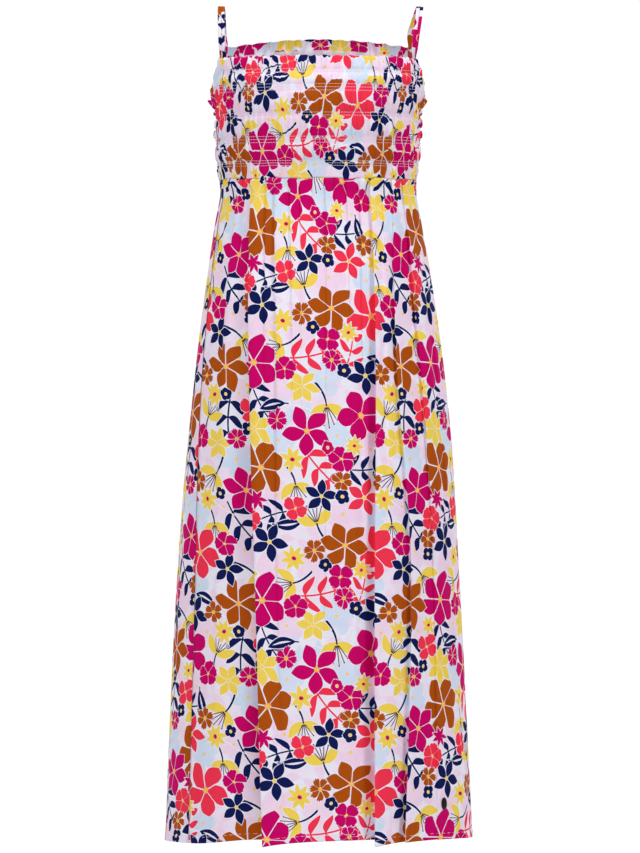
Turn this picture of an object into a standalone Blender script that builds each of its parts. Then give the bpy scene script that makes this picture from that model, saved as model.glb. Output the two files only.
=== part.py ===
"""A maxi dress on thin shoulder straps, built as worn cloth with no wearer inside.

The frame is +Z up, +X to the right of someone looking at the front, and the front faces -Y.
The origin lies midway between the undersides of the two strap tops, where the dress hangs.
All sizes are in metres.
"""

import math
import random
from collections import namedtuple

import bmesh
import bpy
import numpy as np
from mathutils import Vector
from mathutils.bvhtree import BVHTree

# Driving dimensions
CLOTH = 0.0015
SEAM_GAP = 0.0003
FRONT_EDGE_Z = -0.078
FRONT_EDGE_SAG = 0.002
BACK_EDGE_Z = -0.0425
BACK_EDGE_SAG = 0.0145
EDGE_HALF_WIDTH = 0.140
UNDERARM_Z = -0.140
WAIST_Z = -0.260
HEM_Z = -1.238

# Armholes: how far in depth the scoop reaches from the side, and how its frill stands out
ARMHOLE_REACH = 0.050
ARMHOLE_CURVE = 2.3
ARMHOLE_FLARE = 0.0080
STRAP_FLARE = 0.0025
HEADER_FRONT = 0.0195
HEADER_UNDERARM = 0.0140
FLARE_START = 6

# Elastic gathers of the bodice: one column in the valley and one on the crest of each
FRONT_GATHERS = 46
BACK_GATHERS = 38
GATHER_CENTRE = 0.0008
GATHER_SIDE = 0.0015
WAIST_GATHER = 0.4
SEAM_COLUMNS = 3
RUFFLE = 0.0022
ARMHOLE_RUFFLE = 0.5
RUFFLE_EDGE_LIFT = 0.45
GATHER_SEED = 11
GUIDE_Z = -0.110

# Straps: a folded strip that is sewn inside the header and runs over the shoulder
STRAP_WIDTH = 0.0105
STRAP_SEWN = 0.0150
STRAP_FREE = 0.0025
STRAP_CLEAR = 0.0008

# Oval badge near the hem
BADGE_X = 0.1868
BADGE_Z = -1.1885
BADGE_WIDTH = 0.0125
BADGE_HEIGHT = 0.0185
BADGE_THICK = 0.0014
BADGE_SIDES = 20

# The plain section of the cloth at each height: an oval with a squareness of 2 for an ellipse
Section = namedtuple("Section", "z half_width front_depth back_depth squareness")
SECTIONS = (
    Section(-0.030, 0.1500, 0.086, 0.086, 3.10),
    Section(-0.080, 0.1520, 0.095, 0.091, 3.10),
    Section(-0.125, 0.1535, 0.106, 0.092, 2.70),
    Section(-0.165, 0.1525, 0.106, 0.088, 2.45),
    Section(-0.205, 0.1505, 0.099, 0.083, 2.40),
    Section(-0.245, 0.1470, 0.091, 0.080, 2.35),
    Section(-0.278, 0.1450, 0.089, 0.081, 2.35),
    Section(-0.320, 0.1530, 0.097, 0.091, 2.30),
    Section(-0.380, 0.1630, 0.108, 0.104, 2.25),
    Section(-0.440, 0.1725, 0.118, 0.116, 2.20),
    Section(-0.560, 0.1883, 0.132, 0.131, 2.15),
    Section(-0.680, 0.2002, 0.141, 0.139, 2.10),
    Section(-0.860, 0.2120, 0.149, 0.146, 2.10),
    Section(-1.050, 0.2220, 0.154, 0.150, 2.10),
    Section(-1.242, 0.2315, 0.158, 0.153, 2.10),
)

# Where the side seams lie, in degrees: the left one in front of the side, the right one behind
SeamPlace = namedtuple("SeamPlace", "z left_ahead right_behind")
SIDE_SEAMS = (
    SeamPlace(-0.030, 6.0, 4.0),
    SeamPlace(-0.260, 11.0, 5.0),
    SeamPlace(-0.440, 18.0, 7.0),
    SeamPlace(-0.780, 27.0, 10.0),
    SeamPlace(-1.242, 31.0, 12.0),
)

# Rows of the frilled header: down is the share of the header's height below its edge, and the
# rest is how much of the flare, ruffle, puff and gathers each row takes
HeaderRow = namedtuple("HeaderRow", "down flare ruffle puff gather")
HEADER_ROWS = (
    HeaderRow(0.0, 1.00, 1.0, 0.0000, 0.3),
    HeaderRow(0.5, 0.45, 0.6, 0.0008, 0.7),
)

# Levels of the bodice's outer face, as heights at the front's centre: puff is how far the
# cloth stands out between the elastic rows, plain marks the levels that the inner face has
Level = namedtuple("Level", "z puff gather plain")
BODICE_LEVELS = (
    Level(-0.0975, 0.0000, 0.5, True),
    Level(-0.1026, 0.0000, 0.5, False),
    Level(-0.1115, 0.0013, 1.0, False),
    Level(-0.1204, 0.0000, 0.5, True),
    Level(-0.1301, 0.0000, 0.5, False),
    Level(-0.1465, 0.0015, 1.0, False),
    Level(-0.1649, 0.0000, 0.5, True),
    Level(-0.1815, 0.0015, 1.0, False),
    Level(-0.1983, 0.0000, 0.5, True),
    Level(-0.2072, 0.0000, 0.5, False),
    Level(-0.2205, 0.0014, 1.0, False),
    Level(-0.2339, 0.0000, 0.5, True),
    Level(-0.2413, 0.0000, 0.5, False),
    Level(-0.2500, 0.0012, 0.8, False),
)
BENT_ABOVE_Z = -0.1983

# Heights of the skirt's rows
SKIRT_LEVELS = (
    -0.2690, -0.2850, -0.3120, -0.3550, -0.4150, -0.4950,
    -0.5900, -0.7000, -0.8250, -0.9600, -1.1000, HEM_Z,
)
WAIST_PULL = 0.35

# Folds of the skirt at four heights: the place is a share of the half width from the centre,
# and the depth is how far the part to the right of the fold's line stands over the left one
Fold = namedtuple("Fold", "waist hip knee hem waist_deep hip_deep knee_deep hem_deep")
FOLD_HEIGHTS = (WAIST_Z, -0.486, -0.827, HEM_Z)
FRONT_FOLDS = (
    Fold(-0.925, -0.880, -0.800, -0.785, 0.0030, 0.0015, 0.0000, 0.0000),
    Fold(-0.845, -0.790, -0.730, -0.700, 0.0040, 0.0025, 0.0015, 0.0010),
    Fold(-0.760, -0.680, -0.600, -0.540, 0.0045, 0.0020, 0.0005, 0.0000),
    Fold(-0.684, -0.555, -0.424, -0.328, 0.0060, 0.0130, 0.0190, 0.0240),
    Fold(-0.530, -0.445, -0.345, -0.270, 0.0045, 0.0030, 0.0010, 0.0000),
    Fold(-0.450, -0.345, -0.286, -0.210, 0.0045, 0.0045, 0.0030, 0.0015),
    Fold(-0.289, -0.218, -0.180, -0.140, 0.0050, 0.0030, 0.0010, 0.0000),
    Fold(-0.184, -0.140, -0.100, -0.075, 0.0040, 0.0020, 0.0010, 0.0000),
    Fold(-0.060, -0.050, -0.030, -0.020, 0.0035, 0.0010, 0.0000, 0.0000),
    Fold(0.077, 0.067, 0.050, 0.040, 0.0045, 0.0030, 0.0030, 0.0020),
    Fold(0.170, 0.150, 0.130, 0.120, 0.0040, 0.0010, 0.0000, 0.0000),
    Fold(0.296, 0.270, 0.250, 0.210, 0.0045, 0.0030, 0.0020, 0.0010),
    Fold(0.430, 0.370, 0.330, 0.290, 0.0050, 0.0040, 0.0010, 0.0000),
    Fold(0.536, 0.479, 0.407, 0.3725, 0.0060, 0.0130, 0.0190, 0.0240),
    Fold(0.655, 0.555, 0.500, 0.460, 0.0045, 0.0035, 0.0010, 0.0000),
    Fold(0.755, 0.630, 0.645, 0.548, 0.0045, 0.0065, 0.0100, 0.0150),
    Fold(0.860, 0.810, 0.800, 0.755, 0.0050, 0.0080, 0.0050, 0.0040),
    Fold(0.950, 0.930, 0.930, 0.925, 0.0030, 0.0030, 0.0030, 0.0030),
)
BACK_FOLDS = (
    Fold(-0.930, -0.900, -0.880, -0.860, 0.0035, 0.0040, 0.0040, 0.0040),
    Fold(-0.800, -0.740, -0.690, -0.650, 0.0045, 0.0080, 0.0140, 0.0190),
    Fold(-0.690, -0.620, -0.560, -0.510, 0.0045, 0.0025, 0.0010, 0.0000),
    Fold(-0.560, -0.490, -0.420, -0.370, 0.0050, 0.0045, 0.0025, 0.0015),
    Fold(-0.430, -0.370, -0.310, -0.260, 0.0045, 0.0020, 0.0005, 0.0000),
    Fold(-0.300, -0.255, -0.210, -0.170, 0.0060, 0.0120, 0.0180, 0.0220),
    Fold(-0.150, -0.130, -0.110, -0.090, 0.0045, 0.0025, 0.0005, 0.0000),
    Fold(-0.020, -0.010, 0.000, 0.010, 0.0045, 0.0040, 0.0030, 0.0020),
    Fold(0.130, 0.115, 0.110, 0.105, 0.0045, 0.0020, 0.0005, 0.0000),
    Fold(0.270, 0.250, 0.230, 0.220, 0.0050, 0.0040, 0.0020, 0.0010),
    Fold(0.400, 0.370, 0.345, 0.330, 0.0060, 0.0130, 0.0180, 0.0230),
    Fold(0.540, 0.490, 0.450, 0.420, 0.0045, 0.0025, 0.0005, 0.0000),
    Fold(0.670, 0.620, 0.590, 0.560, 0.0050, 0.0045, 0.0040, 0.0030),
    Fold(0.800, 0.760, 0.740, 0.730, 0.0045, 0.0070, 0.0110, 0.0150),
    Fold(0.920, 0.900, 0.890, 0.885, 0.0030, 0.0030, 0.0030, 0.0030),
)

# A fold's lip laps over its valley by a share of its depth, and its swell fades to both sides
FOLD_HALF_GAP = 0.00175
FOLD_OVERLAP = 0.15
SHARPEST_BEND = 0.55
SMALL_FOLD = 0.0065
SMALL_REACH = 0.014
SWELL_REACH = 0.050
SEAM_CALM = 0.020

# The hem hangs lower at the lips of the deepest folds
PLEAT_DROP = 0.0090
PLEAT_DROP_DEPTH = 0.0200
PLEAT_DROP_REACH = 0.045
PLEAT_DROP_START_Z = -0.80

# The hem also hangs lower at the sides than at the middle, most at the left one
HEM_MIDDLE_DROP = 0.0013
HEM_LEFT_DROP = 0.0089
HEM_RIGHT_DROP = 0.0040

# Distance between two columns of points, and how far the left side seam lies in at each height
COLUMN_PITCH = 0.0190
LEFT_SEAM_SUNK = (0.0000, 0.0010, 0.0050, 0.0085)

# Path of each strap: x is added to the place where it leaves the front, depth and height are
# along the arch, and face turns its outer face from sideways (0) to straight ahead (90)
StrapRow = namedtuple("StrapRow", "lean depth z face")
RIGHT_ARCH = (
    StrapRow(0.0015, -0.0490, -0.0620, 60),
    StrapRow(0.0035, -0.0470, -0.0430, 72),
    StrapRow(0.0060, -0.0410, -0.0255, 82),
    StrapRow(0.0080, -0.0295, -0.0110, 90),
    StrapRow(0.0090, -0.0145, -0.0025, 90),
    StrapRow(0.0090, 0.0020, 0.0000, 90),
    StrapRow(0.0075, 0.0190, -0.0030, 90),
    StrapRow(0.0045, 0.0340, -0.0115, 90),
    StrapRow(0.0005, 0.0445, -0.0240, 98),
    StrapRow(-0.0040, 0.0510, -0.0380, 112),
)
LEFT_LEAN_SHARE = 0.15
STRAP_ACROSS_FRONT = 0.962
STRAP_ACROSS_BACK = 0.938


def smooth_value(heights, values, z):
    """A smooth curve through the values at falling heights, read at z."""
    h = np.asarray(heights, float)[::-1]
    v = np.asarray(values, float)[::-1]
    slope = np.gradient(v, h)
    z = float(min(max(z, h[0]), h[-1]))
    i = int(min(np.searchsorted(h, z, side="right") - 1, len(h) - 2))
    step = h[i + 1] - h[i]
    q = (z - h[i]) / step
    rise = v[i + 1] - v[i]
    start = slope[i] * step
    end = slope[i + 1] * step
    return v[i] + q * start + q * q * (3 * rise - 2 * start - end) + q**3 * (start + end - 2 * rise)


def table_value(table, field, z):
    """One named column of a table of rows with a height, read at z."""
    return smooth_value([row.z for row in table], [getattr(row, field) for row in table], z)


class Curve:
    """The plain section of one panel at a height, from its left seam to its right seam."""

    SAMPLES = 361
    REACH = 0.0015

    def __init__(self, side, z):
        half_width = table_value(SECTIONS, "half_width", z)
        front = table_value(SECTIONS, "front_depth", z)
        back = table_value(SECTIONS, "back_depth", z)
        power = 2 / table_value(SECTIONS, "squareness", z)
        start = 180 - table_value(SIDE_SEAMS, "left_ahead", z)
        behind = table_value(SIDE_SEAMS, "right_behind", z)
        end = -behind if side == "front" else 360 - behind
        turn = np.radians(np.linspace(start, end, self.SAMPLES))
        across, ahead = np.cos(turn), np.sin(turn)
        depth = np.where(ahead >= 0, front, back)
        self.x = half_width * np.sign(across) * np.abs(across) ** power
        self.y = -depth * np.sign(ahead) * np.abs(ahead) ** power
        steps = np.hypot(np.diff(self.x), np.diff(self.y))
        self.arc = np.concatenate([[0.0], np.cumsum(steps)])
        self.length = self.arc[-1]
        self.half_width = half_width
        self.own = ahead >= 0 if side == "front" else ahead <= 0
        self.hand = 1.0 if side == "front" else -1.0

    def at(self, arc):
        """The point at a length along the curve."""
        return Vector((np.interp(arc, self.arc, self.x), np.interp(arc, self.arc, self.y)))

    def out_of(self, direction):
        """The outward direction that is square to one along the curve."""
        return Vector((direction.y, -direction.x)) * self.hand

    def frame(self, arc):
        """The point at a length along the curve and its outward direction."""
        low, high = max(arc - self.REACH, 0.0), min(arc + self.REACH, self.length)
        right = (self.at(high) - self.at(low)).normalized()
        return self.at(arc), self.out_of(right)

    def across(self, share):
        """The length along the curve at a share of the half width from the centre."""
        return float(np.interp(share * self.half_width, self.x[self.own], self.arc[self.own]))


def armhole_share(y):
    """0 at the underarm, rising to 1 where the armhole meets the top edge."""
    return min(abs(y) / ARMHOLE_REACH, 1.0)


def top_edge(x, y):
    """Height of the bodice's edge over a point of its plain section."""
    spread = (x / EDGE_HALF_WIDTH) ** 2
    if y < 0:
        level = FRONT_EDGE_Z - FRONT_EDGE_SAG * spread
    else:
        level = BACK_EDGE_Z - BACK_EDGE_SAG * spread
    return UNDERARM_Z + (level - UNDERARM_Z) * armhole_share(y) ** ARMHOLE_CURVE


def stitched(bm, first, second):
    """Closes the strip between two rows of points that run the same way, each with its places."""
    (a, place_a), (b, place_b) = first, second
    i = j = 0
    while i < len(a) - 1 or j < len(b) - 1:
        step_a = j == len(b) - 1 or (i < len(a) - 1 and place_a[i + 1] <= place_b[j + 1])
        if step_a:
            bm.faces.new((a[i], a[i + 1], b[j]))
            i += 1
        else:
            bm.faces.new((a[i], b[j + 1], b[j]))
            j += 1


def panelled(bm, grid):
    """Quads between the neighbouring points of a grid."""
    for upper, lower in zip(grid, grid[1:]):
        for k in range(len(upper) - 1):
            bm.faces.new((upper[k], upper[k + 1], lower[k + 1], lower[k]))


def walled(name, outer, inner, colour):
    """A closed wall between an outer and an inner grid of points, which may be coarser."""
    bm = bmesh.new()
    grids = [[[bm.verts.new(point) for point in row] for row in grid] for grid in (outer, inner)]
    for grid in grids:
        panelled(bm, grid)
    rims = []
    for grid in grids:
        across = [k / (len(grid[0]) - 1) for k in range(len(grid[0]))]
        down = [row[0].co.z for row in grid]
        down = [(down[0] - z) / (down[0] - down[-1]) for z in down]
        rims.append(
            (
                (grid[0], across),
                (grid[-1], across),
                ([row[0] for row in grid], down),
                ([row[-1] for row in grid], down),
            )
        )
    for first, second in zip(*rims):
        stitched(bm, first, second)
    return cloth_object(name, bm, colour)


def cloth_object(name, bm, colour, roughness=0.75, metallic=0.0):
    """A named object of the finished mesh, facing out, with its own material."""
    bmesh.ops.triangulate(bm, faces=[face for face in bm.faces if len(face.verts) > 3])
    bmesh.ops.recalc_face_normals(bm, faces=bm.faces)
    mesh = bpy.data.meshes.new(name)
    bm.to_mesh(mesh)
    bm.free()
    mesh.shade_smooth()
    mesh.set_sharp_from_angle(angle=math.radians(50))
    material = bpy.data.materials.new(name)
    material.use_nodes = True
    principled = material.node_tree.nodes["Principled BSDF"]
    principled.inputs["Base Color"].default_value = (*colour, 1.0)
    principled.inputs["Roughness"].default_value = roughness
    principled.inputs["Metallic"].default_value = metallic
    mesh.materials.append(material)
    thing = bpy.data.objects.new(name, mesh)
    bpy.context.scene.collection.objects.link(thing)
    return thing


def bodice_column(side, guide, share):
    """Heights of the bodice's rows at a share of the way across, and how its frill stands there."""
    here = guide.at(share * guide.length)
    armhole = 1 - armhole_share(here.y)
    header = HEADER_FRONT + (HEADER_UNDERARM - HEADER_FRONT) * armhole
    edge = top_edge(here.x, here.y)
    bend = (edge - header - BENT_ABOVE_Z) / (BODICE_LEVELS[0].z - BENT_ABOVE_Z) - 1
    bent = [level.z + max(level.z - BENT_ABOVE_Z, 0.0) * bend for level in BODICE_LEVELS]
    heights = [edge - row.down * header for row in HEADER_ROWS] + bent + [WAIST_Z + SEAM_GAP / 2]
    open_share = 1 - (1 - armhole) ** 2
    flare = (STRAP_FLARE + (ARMHOLE_FLARE - STRAP_FLARE) * open_share) * min(armhole * FLARE_START, 1)
    strap_share = STRAP_ACROSS_FRONT if side == "front" else STRAP_ACROSS_BACK
    from_strap = abs(abs(here.x) - strap_share * guide.half_width)
    free = min(max(from_strap / (STRAP_WIDTH / 2) - 1, 0.0), 1.0)
    ruffle = RUFFLE * (1 + ARMHOLE_RUFFLE * armhole) * free
    side_share = min(abs(here.x) / guide.half_width, 1.0) ** 2
    crest = GATHER_CENTRE + (GATHER_SIDE - GATHER_CENTRE) * side_share
    return heights, flare, ruffle, crest


def bodice_panel(side, gathers, colour):
    """The shirred front or back: relief on its outer face, a plain inside, and a frilled header."""
    uneven = random.Random(GATHER_SEED + gathers)
    columns = 2 * gathers
    table = [*HEADER_ROWS, *(HeaderRow(0.0, 0.0, 0.0, l.puff, l.gather) for l in BODICE_LEVELS)]
    table.append(HeaderRow(0.0, 0.0, 0.0, 0.0, WAIST_GATHER))
    plain = [True] * len(HEADER_ROWS) + [level.plain for level in BODICE_LEVELS] + [True]
    strength = [[uneven.uniform(0.45, 1.0) for _ in range(columns + 1)] for _ in table]
    shift = [0.0] + [uneven.uniform(-0.22, 0.22) for _ in range(columns - 1)] + [0.0]
    outer = [[] for _ in table]
    inner = [[] for _ in table]
    guide = Curve(side, GUIDE_Z)
    for k in range(columns + 1):
        share = (k + shift[k]) / columns
        heights, flare, ruffle, crest = bodice_column(side, guide, share)
        calm = min(k, columns - k, SEAM_COLUMNS) / SEAM_COLUMNS
        wave = (1, 0, -1, 0)[k % 4] * ruffle * calm
        for r, row in enumerate(table):
            z = heights[r] + (RUFFLE_EDGE_LIFT * wave if r == 0 else 0.0)
            curve = Curve(side, z)
            arc = min(max(share * curve.length, SEAM_GAP / 2), curve.length - SEAM_GAP / 2)
            point, out = curve.frame(arc)
            sway = row.flare * flare + row.ruffle * wave
            puff = row.puff * (1 + strength[r][k]) / 2
            relief = (puff + (k % 2) * crest * row.gather * strength[r][k]) * calm
            face = point + out * (sway + relief)
            back = point + out * (sway - CLOTH)
            outer[r].append((face.x, face.y, z))
            inner[r].append((back.x, back.y, z))
    inner = [row[::2] for row, kept in zip(inner, plain) if kept]
    return walled(f"bodice_{side}", outer, inner, colour)


def fold_at(fold, z):
    """A fold's place and depth at a height."""
    place = smooth_value(FOLD_HEIGHTS, fold[:4], z)
    return place, max(smooth_value(FOLD_HEIGHTS, fold[4:], z), 0.0)


def pleat_drop(arc, passed, lines):
    """How much the hem hangs down right of the deepest folds, fading towards the next one."""
    drop = 0.0
    for place, deep in lines[:passed]:
        if deep >= PLEAT_DROP_DEPTH:
            drop = PLEAT_DROP * math.exp(-(arc - place) / PLEAT_DROP_REACH)
    return drop


def hem_drop(across):
    """How much lower the hem hangs at a share of the half width, negative on the left."""
    if across > 0:
        return HEM_MIDDLE_DROP + HEM_RIGHT_DROP * across**6
    share = min(max((-across - 0.40) / 0.45, 0.0), 1.0)
    return HEM_MIDDLE_DROP + HEM_LEFT_DROP * share * share * (3 - 2 * share)


def inside_of(curve, points, outs):
    """The row of points one cloth's thickness behind a row, square to it at every bend."""
    behind = [points[0] - outs[0] * CLOTH]
    for before, point, after in zip(points, points[1:], points[2:]):
        first = curve.out_of((point - before).normalized())
        second = curve.out_of((after - point).normalized())
        middle = (first + second).normalized()
        behind.append(point - middle * CLOTH / max(middle.dot(first), SHARPEST_BEND))
    behind.append(points[-1] - outs[-1] * CLOTH)
    return behind


def long_swell(arc, passed, lines):
    """How far the cloth stands out or in near the deep folds, which fades slowly from each."""
    height = 0.0
    for k, (place, deep) in enumerate(lines):
        away = max(arc - place, 0.0) if k < passed else max(place - arc, 0.0)
        side = 1 if k < passed else -1
        reach = SWELL_REACH if deep > SMALL_FOLD else SMALL_REACH
        height += side * deep / 2 * math.exp(-away / reach)
    return height


def skirt_row(side, folds, gaps, z, ease):
    """One row of a skirt panel: points of the outer and inner faces, and how far each hangs down."""
    curve = Curve(side, z)
    lines = []
    for fold in folds:
        place, deep = fold_at(fold, z)
        lines.append((curve.across(place), deep * ease))
    sunk = smooth_value(FOLD_HEIGHTS, LEFT_SEAM_SUNK, z) * ease
    ends = SEAM_GAP / 2
    laps = [FOLD_HALF_GAP - FOLD_OVERLAP * deep for _, deep in lines]
    starts = [ends] + [place + lap for (place, _), lap in zip(lines, laps)]
    stops = [place - lap for (place, _), lap in zip(lines, laps)] + [curve.length - ends]
    points, outs, drops = [], [], []
    for passed, (start, stop) in enumerate(zip(starts, stops)):
        for step in range(gaps[passed] + 2):
            arc = start + (stop - start) * step / (gaps[passed] + 1)
            height = long_swell(arc, passed, lines) - sunk * math.exp(-(arc - ends) / SWELL_REACH)
            height *= min((curve.length - ends - arc) / SEAM_CALM, 1.0)
            point, out = curve.frame(arc)
            points.append(point + out * height)
            outs.append(out)
            drops.append(pleat_drop(arc, passed, lines))
    return points, inside_of(curve, points, outs), drops


def skirt_panel(side, folds, colour):
    """The front or back of the skirt, gathered at the waist, with its long folds."""
    hem = Curve(side, HEM_Z)
    places = [0.0] + [hem.across(fold.hem) for fold in folds] + [hem.length]
    gaps = [max(1, round((b - a) / COLUMN_PITCH) - 1) for a, b in zip(places, places[1:])]
    levels = (WAIST_Z - SEAM_GAP / 2, *SKIRT_LEVELS)
    outer, inner = [], []
    for r, z in enumerate(levels):
        face, behind, drops = skirt_row(side, folds, gaps, z, WAIST_PULL if r == 0 else 1.0)
        low = min(max((PLEAT_DROP_START_Z - z) / (PLEAT_DROP_START_Z - HEM_Z), 0.0), 1.0)
        half_width = table_value(SECTIONS, "half_width", z)
        falls = [drop + hem_drop(p.x / half_width) for p, drop in zip(face, drops)]
        outer.append([(p.x, p.y, z - fall * low) for p, fall in zip(face, falls)])
        inner.append([(p.x, p.y, z - fall * low) for p, fall in zip(behind, falls)])
    return walled(f"skirt_{side}", outer, inner, colour)


def sewn_end(side, across, hand):
    """A strap's sewn end inside the header, from its end up: rows of point, face and bow."""
    rows = []
    for lift in (-STRAP_SEWN, -STRAP_SEWN / 2, STRAP_FREE):
        guide = Curve(side, -0.10)
        probe = guide.at(guide.across(hand * across))
        z = top_edge(probe.x, probe.y) + lift
        curve = Curve(side, z)
        place = curve.across(hand * across)
        point, out = curve.frame(place)
        ends = [curve.at(place + reach * STRAP_WIDTH / 2) for reach in (-1, 1)]
        bow = (point - (ends[0] + ends[1]) / 2).dot(out)
        inside = point - out * (1.5 * CLOTH + STRAP_CLEAR)
        face = math.degrees(math.atan2(-out.y, abs(out.x)))
        rows.append((Vector((inside.x, inside.y, z)), face if side == "front" else 180 + face, bow))
    return rows


def strap(name, hand, colour):
    """A folded strip from inside the front header, over the shoulder, to inside the back one."""
    rows = sewn_end("front", STRAP_ACROSS_FRONT, hand)
    base = rows[-1][0]
    lean_share = 1.0 if hand > 0 else LEFT_LEAN_SHARE
    for row in RIGHT_ARCH:
        place = Vector((base.x + hand * lean_share * row.lean, row.depth, row.z))
        rows.append((place + Vector((0.0, 0.0, CLOTH / 2)), row.face, 0.0))
    rows += reversed(sewn_end("back", STRAP_ACROSS_BACK, hand))
    bm = bmesh.new()
    rings = []
    for k, (point, face, bow) in enumerate(rows):
        run = (rows[min(k + 1, len(rows) - 1)][0] - rows[max(k - 1, 0)][0]).normalized()
        turn = math.radians(face)
        width = Vector((hand * math.sin(turn), math.cos(turn), 0.0))
        width = (width - run * width.dot(run)).normalized()
        thick = width.cross(run).normalized() * hand
        ring = []
        for across, up in ((-1, -1), (0, -1), (1, -1), (1, 1), (0, 1), (-1, 1)):
            arched = thick * (-bow * abs(across) + up * CLOTH / 2)
            ring.append(bm.verts.new(point + width * (across * STRAP_WIDTH / 2) + arched))
        rings.append(ring)
    for one, two in zip(rings, rings[1:]):
        for a in range(6):
            b = (a + 1) % 6
            bm.faces.new((one[a], one[b], two[b], two[a]))
    for ring in (rings[0], rings[-1]):
        bm.faces.new((ring[0], ring[1], ring[4], ring[5]))
        bm.faces.new((ring[1], ring[2], ring[3], ring[4]))
    return cloth_object(name, bm, colour)


def hem_badge(panel, colour):
    """A small blank oval badge on a flat back, made from the skirt's own points, moved out."""
    mesh = panel.data
    tree = BVHTree.FromPolygons(
        [tuple(v.co) for v in mesh.vertices], [tuple(p.vertices) for p in mesh.polygons]
    )
    spots = [(0.0, 0.0)]
    for share in (0.35, 0.7, 1.0):
        for k in range(BADGE_SIDES):
            turn = 2 * math.pi * k / BADGE_SIDES
            spots.append((share * math.cos(turn), share * math.sin(turn)))
    hits = []
    for across, up in spots:
        start = Vector((BADGE_X + across * BADGE_WIDTH / 2, -1.0, BADGE_Z + up * BADGE_HEIGHT / 2))
        hits.append(tree.ray_cast(start, Vector((0.0, 1.0, 0.0))))
    out = sum((hit[1] for hit in hits), Vector()).normalized()
    right = Vector((0.0, 0.0, 1.0)).cross(out).normalized() * -1
    up = out.cross(right) * -1
    centre = hits[0][0]
    clear = max((hit[0] - centre).dot(out) for hit in hits) + SEAM_GAP
    bm = bmesh.new()
    rings = []
    for share, high in ((1.0, 0.0), (1.0, 0.45), (0.82, 0.80), (0.50, 1.0)):
        ring = []
        for k in range(BADGE_SIDES):
            turn = 2 * math.pi * k / BADGE_SIDES
            flat = right * (share * BADGE_WIDTH / 2 * math.cos(turn))
            flat += up * (share * BADGE_HEIGHT / 2 * math.sin(turn))
            ring.append(bm.verts.new(centre + flat + out * (clear + high * BADGE_THICK)))
        rings.append(ring)
    for one, two in zip(rings, rings[1:]):
        for k in range(BADGE_SIDES):
            n = (k + 1) % BADGE_SIDES
            bm.faces.new((one[k], one[n], two[n], two[k]))
    bm.faces.new(rings[0])
    bm.faces.new(rings[-1])
    return cloth_object("hem_badge", bm, colour, roughness=0.35, metallic=0.3)


def main():
    for thing in list(bpy.data.objects):
        bpy.data.objects.remove(thing)
    print_ground = (0.83, 0.80, 0.90)
    bodice_panel("front", FRONT_GATHERS, print_ground)
    bodice_panel("back", BACK_GATHERS, print_ground)
    front = skirt_panel("front", FRONT_FOLDS, print_ground)
    skirt_panel("back", BACK_FOLDS, print_ground)
    strap("strap_left", -1, print_ground)
    strap("strap_right", 1, print_ground)
    hem_badge(front, (0.01, 0.01, 0.012))


main()
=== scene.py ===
"""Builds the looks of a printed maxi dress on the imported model, laid out as an add-on."""

import math
import random
from collections import namedtuple

import bmesh
import bpy
import numpy as np
from bpy.props import FloatProperty, FloatVectorProperty, PointerProperty
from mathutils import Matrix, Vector


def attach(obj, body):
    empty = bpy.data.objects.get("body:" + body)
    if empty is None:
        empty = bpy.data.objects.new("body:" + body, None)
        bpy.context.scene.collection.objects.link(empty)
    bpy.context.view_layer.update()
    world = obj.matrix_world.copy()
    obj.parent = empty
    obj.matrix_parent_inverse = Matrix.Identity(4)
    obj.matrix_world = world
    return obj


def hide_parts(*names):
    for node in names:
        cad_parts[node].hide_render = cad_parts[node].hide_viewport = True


bl_info = {
    "name": "Printed Maxi Dress",
    "version": (1, 0, 0),
    "blender": (4, 5, 0),
    "location": "View3D > Sidebar > Dress",
    "description": "Makes the cloth, stitching, badge and stage of a printed maxi dress",
    "category": "Mesh",
}

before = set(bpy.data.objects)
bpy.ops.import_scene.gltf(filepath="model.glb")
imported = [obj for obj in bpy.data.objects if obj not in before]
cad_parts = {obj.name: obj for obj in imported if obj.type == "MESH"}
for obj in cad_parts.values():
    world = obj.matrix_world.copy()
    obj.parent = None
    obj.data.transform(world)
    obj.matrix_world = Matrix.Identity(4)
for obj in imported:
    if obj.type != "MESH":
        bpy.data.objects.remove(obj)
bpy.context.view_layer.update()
BODY = "root"

# Sizes shared with the solids, in metres
CLOTH = 0.0015
SEAM_GAP = 0.0003
FRONT_EDGE_Z = -0.078
FRONT_EDGE_SAG = 0.002
BACK_EDGE_Z = -0.0425
BACK_EDGE_SAG = 0.0145
EDGE_HALF_WIDTH = 0.140
UNDERARM_Z = -0.140
WAIST_Z = -0.260
HEM_Z = -1.238
ARMHOLE_REACH = 0.050
ARMHOLE_CURVE = 2.3
ARMHOLE_FLARE = 0.0080
STRAP_FLARE = 0.0025
HEADER_FRONT = 0.0195
HEADER_UNDERARM = 0.0140
FLARE_START = 6
FIRST_ELASTIC_Z = -0.0975
BENT_ABOVE_Z = -0.1983
GUIDE_Z = -0.110
STRAP_WIDTH = 0.0105
STRAP_SEWN = 0.0150
STRAP_FREE = 0.0025
STRAP_CLEAR = 0.0008
STRAP_ACROSS = {"front": 0.962, "back": 0.938}

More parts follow.
